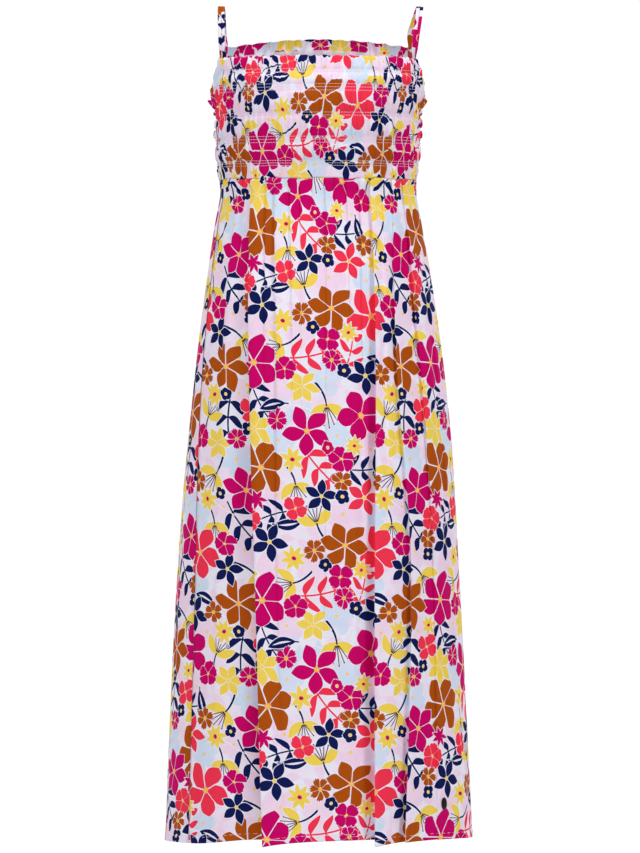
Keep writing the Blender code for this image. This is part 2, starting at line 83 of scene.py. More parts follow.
# The plain section of the cloth at each height: an oval with a squareness of 2 for an ellipse
Section = namedtuple("Section", "z half_width front_depth back_depth squareness")
SECTIONS = (
    Section(-0.030, 0.1500, 0.086, 0.086, 3.10),
    Section(-0.080, 0.1520, 0.095, 0.091, 3.10),
    Section(-0.125, 0.1535, 0.106, 0.092, 2.70),
    Section(-0.165, 0.1525, 0.106, 0.088, 2.45),
    Section(-0.205, 0.1505, 0.099, 0.083, 2.40),
    Section(-0.245, 0.1470, 0.091, 0.080, 2.35),
    Section(-0.278, 0.1450, 0.089, 0.081, 2.35),
    Section(-0.320, 0.1530, 0.097, 0.091, 2.30),
    Section(-0.380, 0.1630, 0.108, 0.104, 2.25),
    Section(-0.440, 0.1725, 0.118, 0.116, 2.20),
    Section(-0.560, 0.1883, 0.132, 0.131, 2.15),
    Section(-0.680, 0.2002, 0.141, 0.139, 2.10),
    Section(-0.860, 0.2120, 0.149, 0.146, 2.10),
    Section(-1.050, 0.2220, 0.154, 0.150, 2.10),
    Section(-1.242, 0.2315, 0.158, 0.153, 2.10),
)

# Where the side seams lie, in degrees: the left one in front of the side, the right one behind
SeamPlace = namedtuple("SeamPlace", "z left_ahead right_behind")
SIDE_SEAMS = (
    SeamPlace(-0.030, 6.0, 4.0),
    SeamPlace(-0.260, 11.0, 5.0),
    SeamPlace(-0.440, 18.0, 7.0),
    SeamPlace(-0.780, 27.0, 10.0),
    SeamPlace(-1.242, 31.0, 12.0),
)

# Heights of the elastic threads at the middle of the front, in groups that are sewn close together
ELASTIC_GROUPS = (
    (-0.0975, -0.1026),
    (-0.1204, -0.1252, -0.1301),
    (-0.1627, -0.1671),
    (-0.1983, -0.2027, -0.2072),
    (-0.2339, -0.2376, -0.2413),
)
ELASTIC_PINCH = 0.0022

# The shirred bodice: its gathers, the frill above the first thread, the puffs between the threads
# and how the last band stands out and tucks in at the waist seam
GATHERS = {"front": 46, "back": 38}
COLUMNS_PER_GATHER = 9
GATHER_SEED = {"front": 57, "back": 49}
PUFF = 0.0016
RUFFLE = 0.0024
ARMHOLE_RUFFLE = 0.25
RUFFLE_WANDER = 0.35
RUFFLE_UNEVEN = 0.25
RUFFLE_EDGE_LIFTS = (0.45, 0.30, 0.12)
HEADER_ROWS = 10
HEADER_PUFF = 0.5
CALM_GATHERS = 1.5
RIDGE_WANDER = 0.42
RIDGE_LOWEST = 0.35
FINE_RIDGES = 1.9
FINE_RIDGE_SHARE = 0.50
THREAD_FLATTENS = 0.45
BODICE_ROW = 0.0022
WAIST_BAND_GATHER = 1.10
WAIST_PUFF = 0.7
WAIST_PUFF_FADE = 0.020
UNDERARM_EASE = 0.0024
UNDERARM_EASE_Z = -0.168
UNDERARM_EASE_TALL = 0.032
FACING_DEPTH = 0.0165
PANEL_WIDTH = 0.35
BODICE_CUT_SHARE = 0.92

# How much flat cloth is drawn up into the width of the bodice, at the middle and at the sides
FULLNESS_MIDDLE = {"front": 1.24, "back": 1.14}
FULLNESS_SIDE = {"front": 0.80, "back": 0.70}

# Folds of the skirt at four heights: the place is a share of the half width from the centre,
# and the depth is how far the part to the right of the fold's line stands over the left one
Fold = namedtuple("Fold", "waist hip knee hem waist_deep hip_deep knee_deep hem_deep")
FOLD_HEIGHTS = (WAIST_Z, -0.486, -0.827, HEM_Z)
FOLDS = {
    "front": (
        Fold(-0.925, -0.880, -0.800, -0.785, 0.0030, 0.0015, 0.0000, 0.0000),
        Fold(-0.845, -0.790, -0.730, -0.700, 0.0040, 0.0025, 0.0015, 0.0010),
        Fold(-0.760, -0.680, -0.600, -0.540, 0.0045, 0.0020, 0.0005, 0.0000),
        Fold(-0.684, -0.555, -0.424, -0.328, 0.0060, 0.0130, 0.0190, 0.0240),
        Fold(-0.530, -0.445, -0.345, -0.270, 0.0045, 0.0030, 0.0010, 0.0000),
        Fold(-0.450, -0.345, -0.286, -0.210, 0.0045, 0.0045, 0.0030, 0.0015),
        Fold(-0.289, -0.218, -0.180, -0.140, 0.0050, 0.0030, 0.0010, 0.0000),
        Fold(-0.184, -0.140, -0.100, -0.075, 0.0040, 0.0020, 0.0010, 0.0000),
        Fold(-0.060, -0.050, -0.030, -0.020, 0.0035, 0.0010, 0.0000, 0.0000),
        Fold(0.077, 0.067, 0.050, 0.040, 0.0045, 0.0030, 0.0030, 0.0020),
        Fold(0.170, 0.150, 0.130, 0.120, 0.0040, 0.0010, 0.0000, 0.0000),
        Fold(0.296, 0.270, 0.250, 0.210, 0.0045, 0.0030, 0.0020, 0.0010),
        Fold(0.430, 0.370, 0.330, 0.290, 0.0050, 0.0040, 0.0010, 0.0000),
        Fold(0.536, 0.479, 0.407, 0.3725, 0.0060, 0.0130, 0.0190, 0.0240),
        Fold(0.655, 0.555, 0.500, 0.460, 0.0045, 0.0035, 0.0010, 0.0000),
        Fold(0.755, 0.630, 0.645, 0.548, 0.0045, 0.0065, 0.0100, 0.0150),
        Fold(0.860, 0.810, 0.800, 0.755, 0.0050, 0.0080, 0.0050, 0.0040),
        Fold(0.950, 0.930, 0.930, 0.925, 0.0030, 0.0030, 0.0030, 0.0030),
    ),
    "back": (
        Fold(-0.930, -0.900, -0.880, -0.860, 0.0035, 0.0040, 0.0040, 0.0040),
        Fold(-0.800, -0.740, -0.690, -0.650, 0.0045, 0.0080, 0.0140, 0.0190),
        Fold(-0.690, -0.620, -0.560, -0.510, 0.0045, 0.0025, 0.0010, 0.0000),
        Fold(-0.560, -0.490, -0.420, -0.370, 0.0050, 0.0045, 0.0025, 0.0015),
        Fold(-0.430, -0.370, -0.310, -0.260, 0.0045, 0.0020, 0.0005, 0.0000),
        Fold(-0.300, -0.255, -0.210, -0.170, 0.0060, 0.0120, 0.0180, 0.0220),
        Fold(-0.150, -0.130, -0.110, -0.090, 0.0045, 0.0025, 0.0005, 0.0000),
        Fold(-0.020, -0.010, 0.000, 0.010, 0.0045, 0.0040, 0.0030, 0.0020),
        Fold(0.130, 0.115, 0.110, 0.105, 0.0045, 0.0020, 0.0005, 0.0000),
        Fold(0.270, 0.250, 0.230, 0.220, 0.0050, 0.0040, 0.0020, 0.0010),
        Fold(0.400, 0.370, 0.345, 0.330, 0.0060, 0.0130, 0.0180, 0.0230),
        Fold(0.540, 0.490, 0.450, 0.420, 0.0045, 0.0025, 0.0005, 0.0000),
        Fold(0.670, 0.620, 0.590, 0.560, 0.0050, 0.0045, 0.0040, 0.0030),
        Fold(0.800, 0.760, 0.740, 0.730, 0.0045, 0.0070, 0.0110, 0.0150),
        Fold(0.920, 0.900, 0.890, 0.885, 0.0030, 0.0030, 0.0030, 0.0030),
    ),
}
# How a fold rounds over, how the cloth swells beside it and how low the hem hangs
FOLD_HALF_GAP = 0.00175
FOLD_OVERLAP = 0.15
SOFT_FOLD_SPREAD = 0.0018
SMALL_FOLD_LAP = 0.0012
SMALL_FOLD_LAP_DEPTH = 0.0045
FOLD_ROUND = 0.34
FOLD_RUN_ON = 0.25
FOLD_POINTS = 8
SMALL_FOLD = 0.0065
SMALL_REACH = 0.014
SWELL_REACH = 0.050
SEAM_CALM = 0.020
PLEAT_DROP = 0.0090
PLEAT_DROP_DEPTH = 0.0200
PLEAT_DROP_REACH = 0.045
PLEAT_DROP_START_Z = -0.80
HEM_MIDDLE_DROP = 0.0013
HEM_LEFT_DROP = 0.0089
HEM_LEFT_FADE = (0.40, 0.85)
HEM_RIGHT_DROP = 0.0040
LEFT_SEAM_SUNK = (0.0000, 0.0010, 0.0050, 0.0085)
WAIST_PULL = 0.35
WAIST_PULL_FADE = 0.007
COLUMN_PITCH = 0.0062
ROW_PITCH = 0.0105
ROW_PITCH_WAIST = 0.0040
WAIST_ROWS_END_Z = -0.330
HEM_FOLD = 0.0090
HEM_FOLD_THICK = 0.0005
# The waist seam: its allowance behind the bodice, the tuck of the gathers and how it wavers
SEAM_ALLOWANCE = 0.0024
SEAM_ALLOWANCE_SUNK = 0.0024
SEAM_TUCK = 0.0220
TUCK_LEAST = 0.3
SEAM_WAVER = 0.0009
SEAM_WAVER_FADE = 0.014

# Short gathers that spring from the waist seam and fade as they go down
WAIST_GATHERS = 52
WAIST_GATHER_DEPTH = 0.0024
WAIST_GATHER_WIDTH = 0.0024
WAIST_GATHER_SPREAD = 0.060
WAIST_GATHER_AT_SEAM = 0.45
WAIST_GATHER_WIDENS = 18.0
SKIRT_PUFF = 0.85
WAIST_GATHER_SEED = {"front": 5, "back": 8}

# Soft creases listed one by one: from and to are shares of the way across at their two ends, a
# negative depth is a trough and a positive one a ridge
Crease = namedtuple("Crease", "start start_z stop stop_z depth width")
CREASES = {
    "front": (
        Crease(0.13, -0.36, 0.11, -0.74, 0.0030, 0.012),
        Crease(0.20, -0.52, 0.17, -1.02, -0.0026, 0.014),
        Crease(0.17, -0.80, 0.21, -1.22, 0.0034, 0.018),
        Crease(0.27, -0.31, 0.25, -0.60, -0.0024, 0.010),
        Crease(0.33, -0.58, 0.31, -1.05, 0.0024, 0.013),
        Crease(0.39, -0.40, 0.37, -0.70, 0.0020, 0.011),
        Crease(0.42, -0.82, 0.44, -1.20, -0.0028, 0.018),
        Crease(0.47, -0.34, 0.48, -0.66, -0.0018, 0.010),
        Crease(0.50, -0.62, 0.49, -1.12, 0.0026, 0.016),
        Crease(0.56, -0.45, 0.57, -0.88, -0.0022, 0.012),
        Crease(0.60, -0.78, 0.59, -1.22, 0.0030, 0.017),
        Crease(0.63, -0.32, 0.61, -0.56, 0.0020, 0.010),
        Crease(0.72, -0.66, 0.70, -1.16, -0.0022, 0.012),
        Crease(0.80, -0.42, 0.79, -0.86, 0.0026, 0.013),
        Crease(0.86, -0.70, 0.87, -1.22, -0.0030, 0.016),
        Crease(0.91, -0.36, 0.93, -0.80, 0.0018, 0.011),
    ),
    "back": (
        Crease(0.09, -0.40, 0.11, -0.92, -0.0026, 0.014),
        Crease(0.16, -0.62, 0.15, -1.20, 0.0028, 0.016),
        Crease(0.24, -0.34, 0.26, -0.72, -0.0022, 0.011),
        Crease(0.31, -0.70, 0.33, -1.18, 0.0026, 0.016),
        Crease(0.38, -0.38, 0.37, -0.80, 0.0022, 0.012),
        Crease(0.46, -0.56, 0.45, -1.10, -0.0028, 0.015),
        Crease(0.52, -0.33, 0.53, -0.66, 0.0020, 0.011),
        Crease(0.58, -0.74, 0.57, -1.22, 0.0030, 0.018),
        Crease(0.66, -0.42, 0.67, -0.94, -0.0024, 0.013),
        Crease(0.75, -0.60, 0.74, -1.14, 0.0026, 0.014),
        Crease(0.83, -0.36, 0.81, -0.78, -0.0020, 0.011),
        Crease(0.90, -0.66, 0.91, -1.20, 0.0024, 0.015),
    ),
}

# Flat cloth of each skirt panel, as cut: wider at the hem than at the gathered waist
SKIRT_CUT_WAIST = {"front": 0.500, "back": 0.440}
SKIRT_CUT_PLAIN_Z = -0.560

# Path of each strap: lean is added to the place where it leaves the front, depth and height are
# along the arch, and face turns its outer face from sideways (0) to straight ahead (90)
StrapRow = namedtuple("StrapRow", "lean depth z face")
STRAP_ARCH = (
    StrapRow(0.0015, -0.0490, -0.0620, 60),
    StrapRow(0.0035, -0.0470, -0.0430, 72),
    StrapRow(0.0060, -0.0410, -0.0255, 82),
    StrapRow(0.0080, -0.0295, -0.0110, 90),
    StrapRow(0.0090, -0.0145, -0.0025, 90),
    StrapRow(0.0090, 0.0020, 0.0000, 90),
    StrapRow(0.0075, 0.0190, -0.0030, 90),
    StrapRow(0.0045, 0.0340, -0.0115, 90),
    StrapRow(0.0005, 0.0445, -0.0240, 98),
    StrapRow(-0.0040, 0.0510, -0.0380, 112),
)
LEFT_LEAN_SHARE = 0.15
STRAP_ROUND = 18
STRAP_CLOTH = 0.0004

# Stitches: the width of the thread and how far it stands off the cloth
THREAD_WIDTH = 0.00055
THREAD_LIFT = 0.00018

# The print: a repeating tile of two by two cells, every second column half a cell lower, and in
# each cell one motif for each row of the table; reach is its radius in metres
CELL_WIDTH = 0.165
CELL_HEIGHT = 0.176
PRINT_SEED = 21
SPREAD_STEPS = 260
SPREAD_PUSH = 0.22
SPREAD_TOUCH = 0.94
HALO = 0.0011
BACK_PRINT = (0.82, 0.07)
SKIRT_PRINT = (0.0, -0.030)
Motif = namedtuple("Motif", "form reach room across down colours petals")


def motif(form, reach, room, across, down, colours, petals="5"):
    """A motif with one colour and one number of petals, or with one for each of four cells."""
    names, counts = colours.split(), [int(count) for count in petals]
    return Motif(form, reach, room, across, down, names * (4 // len(names)), counts * (4 // len(counts)))


MOTIFS = (
    motif("frond", 0.056, 0.018, 0.06, 0.44, "blush"),
    motif("frond", 0.052, 0.018, 0.56, 0.90, "blush mist blush blush"),
    motif("blossom", 0.030, 0.020, 0.90, 0.10, "mist blush blush mist"),
    motif("blossom", 0.029, 0.020, 0.42, 0.58, "blush mist mist blush"),
    motif("blossom", 0.027, 0.018, 0.30, 0.04, "blush blush mist blush"),
    motif("blossom", 0.026, 0.016, 0.76, 0.60, "blush mist blush blush"),
    motif("sprig", 0.041, 0.027, 0.62, 0.34, "navy coral navy coral"),
    motif("sprig", 0.035, 0.022, 0.08, 0.90, "coral navy navy navy"),
    motif("leaf", 0.024, 0.012, 0.34, 0.94, "navy"),
    motif("bell", 0.037, 0.027, 0.74, 0.88, "yellow"),
    motif("bell", 0.033, 0.022, 0.40, 0.30, "yellow"),
    motif("bloom", 0.044, 0.040, 0.24, 0.24, "magenta rust coral magenta", "5656"),
    motif("point", 0.041, 0.036, 0.78, 0.72, "rust magenta magenta rust", "6566"),
    motif("star", 0.032, 0.028, 0.22, 0.74, "navy yellow coral navy", "5655"),
    motif("star", 0.028, 0.025, 0.60, 0.02, "yellow navy navy yellow", "6556"),
    motif("lobed", 0.022, 0.022, 0.94, 0.50, "coral magenta coral magenta", "4554"),
    motif("lobed", 0.020, 0.020, 0.52, 0.12, "magenta coral magenta magenta", "5455"),
    motif("toothed", 0.018, 0.018, 0.54, 0.74, "rust magenta rust rust", "6767"),
    motif("toothed", 0.017, 0.017, 0.92, 0.28, "magenta rust rust magenta", "7667"),
    motif("daisy", 0.021, 0.020, 0.48, 0.46, "yellow", "8788"),
    motif("daisy", 0.017, 0.016, 0.02, 0.12, "yellow magenta yellow yellow", "8787"),
    motif("button", 0.012, 0.012, 0.04, 0.62, "navy", "5454"),
    motif("button", 0.011, 0.011, 0.70, 0.50, "navy magenta navy navy", "5545"),
)

# The petals of each flower: width, where they are widest, how round they are there (1 is a kite,
# 2 and more is fuller), half the gap between them, their teeth and lean, and the flower's middle
Petal = namedtuple("Petal", "width widest round gap teeth lean middle oval")
PETALS = {
    "bloom": Petal(0.310, 0.66, 2.30, 0.018, 0.00, 0.10, 0.120, 1.15),
    "point": Petal(0.270, 0.60, 1.80, 0.018, 0.00, 0.12, 0.110, 1.10),
    "star": Petal(0.240, 0.54, 1.75, 0.018, 0.00, 0.08, 0.110, 1.00),
    "lobed": Petal(0.420, 0.72, 2.80, 0.012, 0.02, 0.10, 0.165, 1.70),
    "toothed": Petal(0.290, 0.80, 2.10, 0.016, 0.05, 0.06, 0.200, 1.30),
    "daisy": Petal(0.190, 0.46, 1.50, -1.0, 0.00, 0.08, 0.170, 1.20),
    "button": Petal(0.440, 0.62, 2.40, -1.0, 0.00, 0.02, 0.250, 1.10),
    "blossom": Petal(0.400, 0.68, 2.60, -1.0, 0.00, 0.06, 0.100, 1.00),
}
CENTRES = {
    "bloom": ("peach", "gold"),
    "point": ("peach", "gold"),
    "star": ("cream", "gold"),
    "lobed": ("peach", "cream"),
    "toothed": ("gold", "peach"),
    "daisy": ("magenta", "magenta"),
    "button": ("cream", "gold"),
    "blossom": ("gold", "gold"),
}
PETAL_RING = {
    "Local": "Vector", "Petals": 5.0, "Width": 0.3, "Widest": 0.6, "Round": 2.0, "Teeth": 0.0,
    "Lean": 0.1, "Seed": 0.0, "Gap": 0.01,
}
# Leaf width and stem of the two kinds of sprig, in shares of their reach
SPRIGS = {"frond": (0.21, 0.030), "sprig": (0.165, 0.032)}
# The forms that are painted as a pale wash without a rim, and how sharply their edge rises
WATERCOLOUR = ("frond", "blossom")
WATERCOLOUR_EDGE = 14.0
# The pink wash of the ground: its fine and broad grain, where it starts, rises to and ends
WASH_FINE = 38.0
WASH_BROAD = 13.0
WASH_START = 0.41
WASH_RISE = 2.4
WASH_MOST = 0.60
# Farthest that a motif may stand from its cell's middle, both ways together
CHART_ROOM = 0.1

# Camera and light
CAMERA_FAR = 9.0
CAMERA_X = 0.003
CAMERA_Z = -0.629
PHOTO_TALL = 1.2795
SENSOR = 24.0
FLOOR_Z = -1.45
FLOOR_SIZE = 4.8
BACKDROP = 1.05
LAMP_AIM = (0.0, 0.0, -0.62)
# Name, place, size and share of the key light's power
LAMPS = (
    ("key", (3.0, -2.8, 1.6), 1.1, 0.76),
    ("fill", (-3.1, -2.8, 1.6), 1.4, 0.79),
    ("top", (0.4, -1.0, 3.6), 2.4, 0.70),
    ("back_left", (-3.0, 4.4, 1.2), 2.6, 0.65),
    ("back_right", (3.2, 4.2, 1.0), 2.6, 0.55),
)


def linear(red, green, blue):
    """A screen colour of 0 to 255 as the scene's linear colour."""
    shares = [value / 255 for value in (red, green, blue)]
    return tuple(c / 12.92 if c <= 0.04045 else ((c + 0.055) / 1.055) ** 2.4 for c in shares)


STAMEN_COLOUR = linear(84, 44, 66)
WRONG_SIDE_COLOUR = linear(222, 216, 228)
WRONG_SIDE_PALE = 0.80


def length_property(label, use, default, low, high):
    """A length that the user can change."""
    return FloatProperty(
        name=label, description=use, default=default, min=low, max=high, unit="LENGTH"
    )


def colour_property(label, use, default):
    """A colour that the user can change."""
    return FloatVectorProperty(
        name=label, description=use, default=default, size=3, min=0.0, max=1.0, subtype="COLOR"
    )


class DressCloth(bpy.types.PropertyGroup):
    """Sizes of the cloth."""

    thickness: length_property(
        "Thickness", "Thickness of one layer of the cloth", 0.0007, 0.0003, 0.0015
    )
    gather_middle: length_property(
        "Gathers at the middle", "Depth of the elastic gathers at the middle", 0.0018, 0.0, 0.003
    )
    gather_side: length_property(
        "Gathers at the sides", "Depth of the elastic gathers at the sides", 0.0039, 0.0, 0.005
    )
    crease: FloatProperty(
        name="Crease depth", description="How strongly the soft creases of the skirt show",
        default=1.0, min=0.0, max=2.0, subtype="FACTOR",
    )
    weave: length_property(
        "Weave pitch", "Distance between two threads of the weave", 0.0006, 0.0003, 0.002
    )


class DressColours(bpy.types.PropertyGroup):
    """Colours of the print, threads and badge."""

    ground: colour_property("Ground", "Ground of the print", linear(240, 238, 251))
    magenta: colour_property("Magenta", "Strongest flowers", linear(203, 0, 104))
    coral: colour_property("Coral", "Coral flowers and sprigs", linear(246, 54, 82))
    rust: colour_property("Rust", "Rust flowers", linear(177, 80, 12))
    navy: colour_property("Navy", "Navy flowers and leaves", linear(15, 25, 84))
    yellow: colour_property("Yellow", "Yellow daisies and bells", linear(246, 214, 88))
    gold: colour_property("Gold", "Middles of flowers", linear(247, 208, 84))
    peach: colour_property("Peach", "Rings round the middles", linear(252, 176, 112))
    cream: colour_property("Cream", "Pale middles", linear(250, 226, 160))
    mist: colour_property("Mist", "Pale blue blossoms", linear(208, 226, 248))
    blush: colour_property("Blush", "Pale pink blossoms", linear(245, 214, 238))
    thread: colour_property("Thread", "Elastic and hem stitches", linear(236, 228, 240))
    badge: colour_property("Badge", "Oval badge at the hem", linear(5, 5, 6))


class DressStage(bpy.types.PropertyGroup):
    """Light and floor."""

    key: FloatProperty(
        name="Key light", description="Power of the large front lights",
        default=88.0, min=0.0, unit="POWER",
    )
    surround: FloatProperty(
        name="Surround", description="Strength of the even light from all sides",
        default=0.34, min=0.0, max=2.0,
    )
    floor: colour_property("Floor", "Plain pale floor", linear(228, 228, 230))


def curve(first, rise, start, end, q):
    """A smooth step up by the rise, read at its share q, with the slopes at its start and end."""
    return first + q * start + q * q * (3 * rise - 2 * start - end) + q**3 * (start + end - 2 * rise)


def smooth_value(heights, values, z):
    """A smooth curve through the values at falling heights, read at z."""
    h = np.asarray(heights, float)[::-1]
    v = np.asarray(values, float)[::-1]
    slope = np.gradient(v, h)
    z = np.clip(z, h[0], h[-1])
    i = np.clip(np.searchsorted(h, z, side="right") - 1, 0, len(h) - 2)
    step = h[i + 1] - h[i]
    return curve(v[i], v[i + 1] - v[i], slope[i] * step, slope[i + 1] * step, (z - h[i]) / step)


def table_value(table, field, z):
    """One named column of a table of rows with a height, read at z."""
    return smooth_value([row.z for row in table], [getattr(row, field) for row in table], z)


def softened(value, low, high):
    """0 below low and 1 above high, with a soft rise between."""
    share = np.clip((value - low) / (high - low), 0, 1)
    return share * share * (3 - 2 * share)


class Form:
    """The plain surface of one side of the dress, read at heights and shares of the way across."""

    TOP = -0.030
    STEP = 0.004
    SHARES = 481
    REACH = 0.0020

    def __init__(self, side):
        self.hand = 1.0 if side == "front" else -1.0
        count = int((self.TOP - HEM_Z + 0.012) / self.STEP) + 2
        levels = [self.section(side, self.TOP - k * self.STEP) for k in range(count)]
        self.places = np.array([level[0] for level in levels])
        self.lengths = np.array([level[1] for level in levels])
        self.halves = np.array([level[2] for level in levels])

    def section(self, side, z):
        """Points spread evenly along the section from its left seam to its right seam."""
        half_width = table_value(SECTIONS, "half_width", z)
        front = table_value(SECTIONS, "front_depth", z)
        back = table_value(SECTIONS, "back_depth", z)
        power = 2 / table_value(SECTIONS, "squareness", z)
        start = 180 - table_value(SIDE_SEAMS, "left_ahead", z)
        behind = table_value(SIDE_SEAMS, "right_behind", z)
        end = -behind if side == "front" else 360 - behind
        turn = np.radians(np.linspace(start, end, self.SHARES))
        across, ahead = np.cos(turn), np.sin(turn)
        depth = np.where(ahead >= 0, front, back)
        x = half_width * np.sign(across) * np.abs(across) ** power
        y = -depth * np.sign(ahead) * np.abs(ahead) ** power
        arc = np.concatenate([[0.0], np.cumsum(np.hypot(np.diff(x), np.diff(y)))])
        even = np.linspace(0, arc[-1], self.SHARES)
        return np.stack([np.interp(even, arc, x), np.interp(even, arc, y)], 1), arc[-1], half_width

    def level(self, z):
        place = np.clip((self.TOP - np.asarray(z, float)) / self.STEP, 0, len(self.lengths) - 1.001)
        return place.astype(int), place - place.astype(int)

    def length(self, z):
        i, f = self.level(z)
        return self.lengths[i] * (1 - f) + self.lengths[i + 1] * f

    def point(self, z, share):
        """Points of the plain surface at heights and shares."""
        i, f = self.level(z)
        column = np.clip(share, 0, 1) * (self.SHARES - 1)
        j = np.minimum(column.astype(int), self.SHARES - 2)
        g = (column - j)[..., None]
        f = f[..., None]
        upper = self.places[i, j] * (1 - g) + self.places[i, j + 1] * g
        lower = self.places[i + 1, j] * (1 - g) + self.places[i + 1, j + 1] * g
        return upper * (1 - f) + lower * f

    def frame(self, z, share):
        """Points of the plain surface and the level directions that lead outwards there."""
        reach = self.REACH / self.length(z)
        along = self.point(z, share + reach) - self.point(z, share - reach)
        along /= np.linalg.norm(along, axis=-1, keepdims=True)
        out = np.stack([along[..., 1], -along[..., 0]], -1) * self.hand
        return self.point(z, share), out

    def share_of(self, z, place):
        """The share of the way across where the section is at a share of its half width."""
        i, f = self.level(z)
        row = self.places[i] * (1 - f) + self.places[i + 1] * f
        half = self.halves[i] * (1 - f) + self.halves[i + 1] * f
        own = row[:, 1] <= 0 if self.hand > 0 else row[:, 1] >= 0
        shares = np.linspace(0, 1, self.SHARES)
        order = np.argsort(row[own, 0])
        return np.interp(place * half, row[own, 0][order], shares[own][order])


def armhole_share(y):
    """0 at the underarm, rising to 1 where the armhole meets the top edge."""
    return np.minimum(np.abs(y) / ARMHOLE_REACH, 1.0)


def top_edge(x, y):
    """Height of the bodice's edge over a point of its plain section."""
    spread = (x / EDGE_HALF_WIDTH) ** 2
    front = FRONT_EDGE_Z - FRONT_EDGE_SAG * spread
    back = BACK_EDGE_Z - BACK_EDGE_SAG * spread
    level = np.where(np.asarray(y) < 0, front, back)
    return UNDERARM_Z + (level - UNDERARM_Z) * armhole_share(y) ** ARMHOLE_CURVE


def wander(uneven, count, size):
    """A smooth random curve, as values at count places that size apart."""
    knots = np.array([uneven.uniform(-1, 1) for _ in range(count // size + 3)])
    where = np.arange(count) / size
    k = where.astype(int)
    t = where - k
    t = t * t * (3 - 2 * t)
    return knots[k] * (1 - t) + knots[k + 1] * t


def new_piece(name, mesh, materials):
    """An object in the scene with its mesh and materials."""
    for material in materials:
        mesh.materials.append(material)
    thing = bpy.data.objects.new(name, mesh)
    bpy.context.scene.collection.objects.link(thing)
    return thing


def sheet_object(name, points, uv, thickness, materials, down=None):
    """A thin closed shell on a grid of points whose rows run down and columns run to the right."""
    rows, columns = points.shape[:2]
    first = (np.arange(rows - 1)[:, None] * columns + np.arange(columns - 1)[None, :]).ravel()
    quads = np.stack([first, first + columns, first + columns + 1, first + 1], 1)
    mesh = bpy.data.meshes.new(name)
    mesh.from_pydata(points.reshape(-1, 3).tolist(), [], quads.tolist())
    layer = mesh.uv_layers.new(name="cloth")
    corners = np.empty(len(mesh.loops), dtype=np.int32)
    mesh.loops.foreach_get("vertex_index", corners)
    layer.data.foreach_set("uv", uv.reshape(-1, 2)[corners].astype(np.float32).ravel())
    if down is not None:
        mark = mesh.attributes.new(name="down", type="FLOAT", domain="POINT")
        mark.data.foreach_set("value", down.astype(np.float32).ravel())
    mesh.shade_smooth()
    thing = new_piece(name, mesh, materials)
    shell = thing.modifiers.new("shell", "SOLIDIFY")
    shell.thickness = thickness
    shell.offset = -1.0
    shell.material_offset = 1
    shell.use_quality_normals = True
    bpy.ops.object.select_all(action="DESELECT")
    thing.select_set(True)
    bpy.context.view_layer.objects.active = thing
    bpy.ops.object.modifier_apply(modifier=shell.name)
    return thing


def finish_piece(thing, slot, *nodes):
    """Puts a piece in the model in the place of its solids."""
    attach(thing, BODY)
    if nodes:
        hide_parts(*nodes)


def strip_stitches(name, rows, normals, pitch, filled, material):
    """Short stitches that lie on rows of points: filled of every pitch steps are thread."""
    bm = bmesh.new()
    up = Vector((0.0, 0.0, THREAD_WIDTH / 2))
    for row, lift in zip(rows, normals):
        raised = row + lift * THREAD_LIFT
        for k in range(0, len(row) - filled, pitch):
            pairs = []
            for middle in map(Vector, raised[k : k + filled + 1]):
                pairs.append((bm.verts.new(middle + up), bm.verts.new(middle - up)))
            for (a, b), (c, d) in zip(pairs, pairs[1:]):
                bm.faces.new((a, b, d, c))
    mesh = bpy.data.meshes.new(name)
    bm.to_mesh(mesh)
    bm.free()
    return new_piece(name, mesh, [material])


def surface_normals(points, hand):
    """The outward directions of a grid of points."""
    right = np.gradient(points, axis=1)
    down = np.gradient(points, axis=0)
    normal = np.cross(down, right) * hand
    return normal / np.maximum(np.linalg.norm(normal, axis=-1, keepdims=True), 1e-9)


def seam_waver(x, z):
    """How far the cloth next to the waist seam lies lower or higher than the plain seam."""
    near = np.exp(-np.abs(z - WAIST_Z) / SEAM_WAVER_FADE)
    return SEAM_WAVER * near * (np.sin(88.0 * x + 0.7) + 0.7 * np.sin(197.0 * x + 2.1))


def bodice_heights():
    """Heights of the fine rows at the middle of the front, with those of every thread among them."""
    threads = [z for group in ELASTIC_GROUPS for z in group]
    marks = [*threads, WAIST_Z + SEAM_GAP / 2]
    heights = []
    for upper, lower in zip(marks, marks[1:]):
        steps = max(2, round((upper - lower) / BODICE_ROW))
        heights += [upper + (lower - upper) * k / steps for k in range(steps)]
    return np.array([*heights, marks[-1]]), threads


def puff_at(heights):
    """How far the cloth stands out between the groups of elastic threads, from 0 to 1."""
    puff = np.zeros(len(heights))
    for upper, lower in zip(ELASTIC_GROUPS, ELASTIC_GROUPS[1:]):
        share = np.clip((upper[-1] - heights) / (upper[-1] - lower[0]), 0, 1)
        puff = np.maximum(puff, np.sin(np.pi * share) ** 0.8)
    last = ELASTIC_GROUPS[-1][-1]
    share = np.clip((last - heights) / (last - WAIST_Z), 0, 1)
    return np.maximum(puff, WAIST_PUFF * np.sin(np.pi / 2 * share))


def pinch_at(heights):
    """1 at an elastic thread, falling to 0 beside it."""
    threads = np.array([z for group in ELASTIC_GROUPS for z in group])
    return np.exp(-(((heights[:, None] - threads) / ELASTIC_PINCH) ** 2)).max(1)


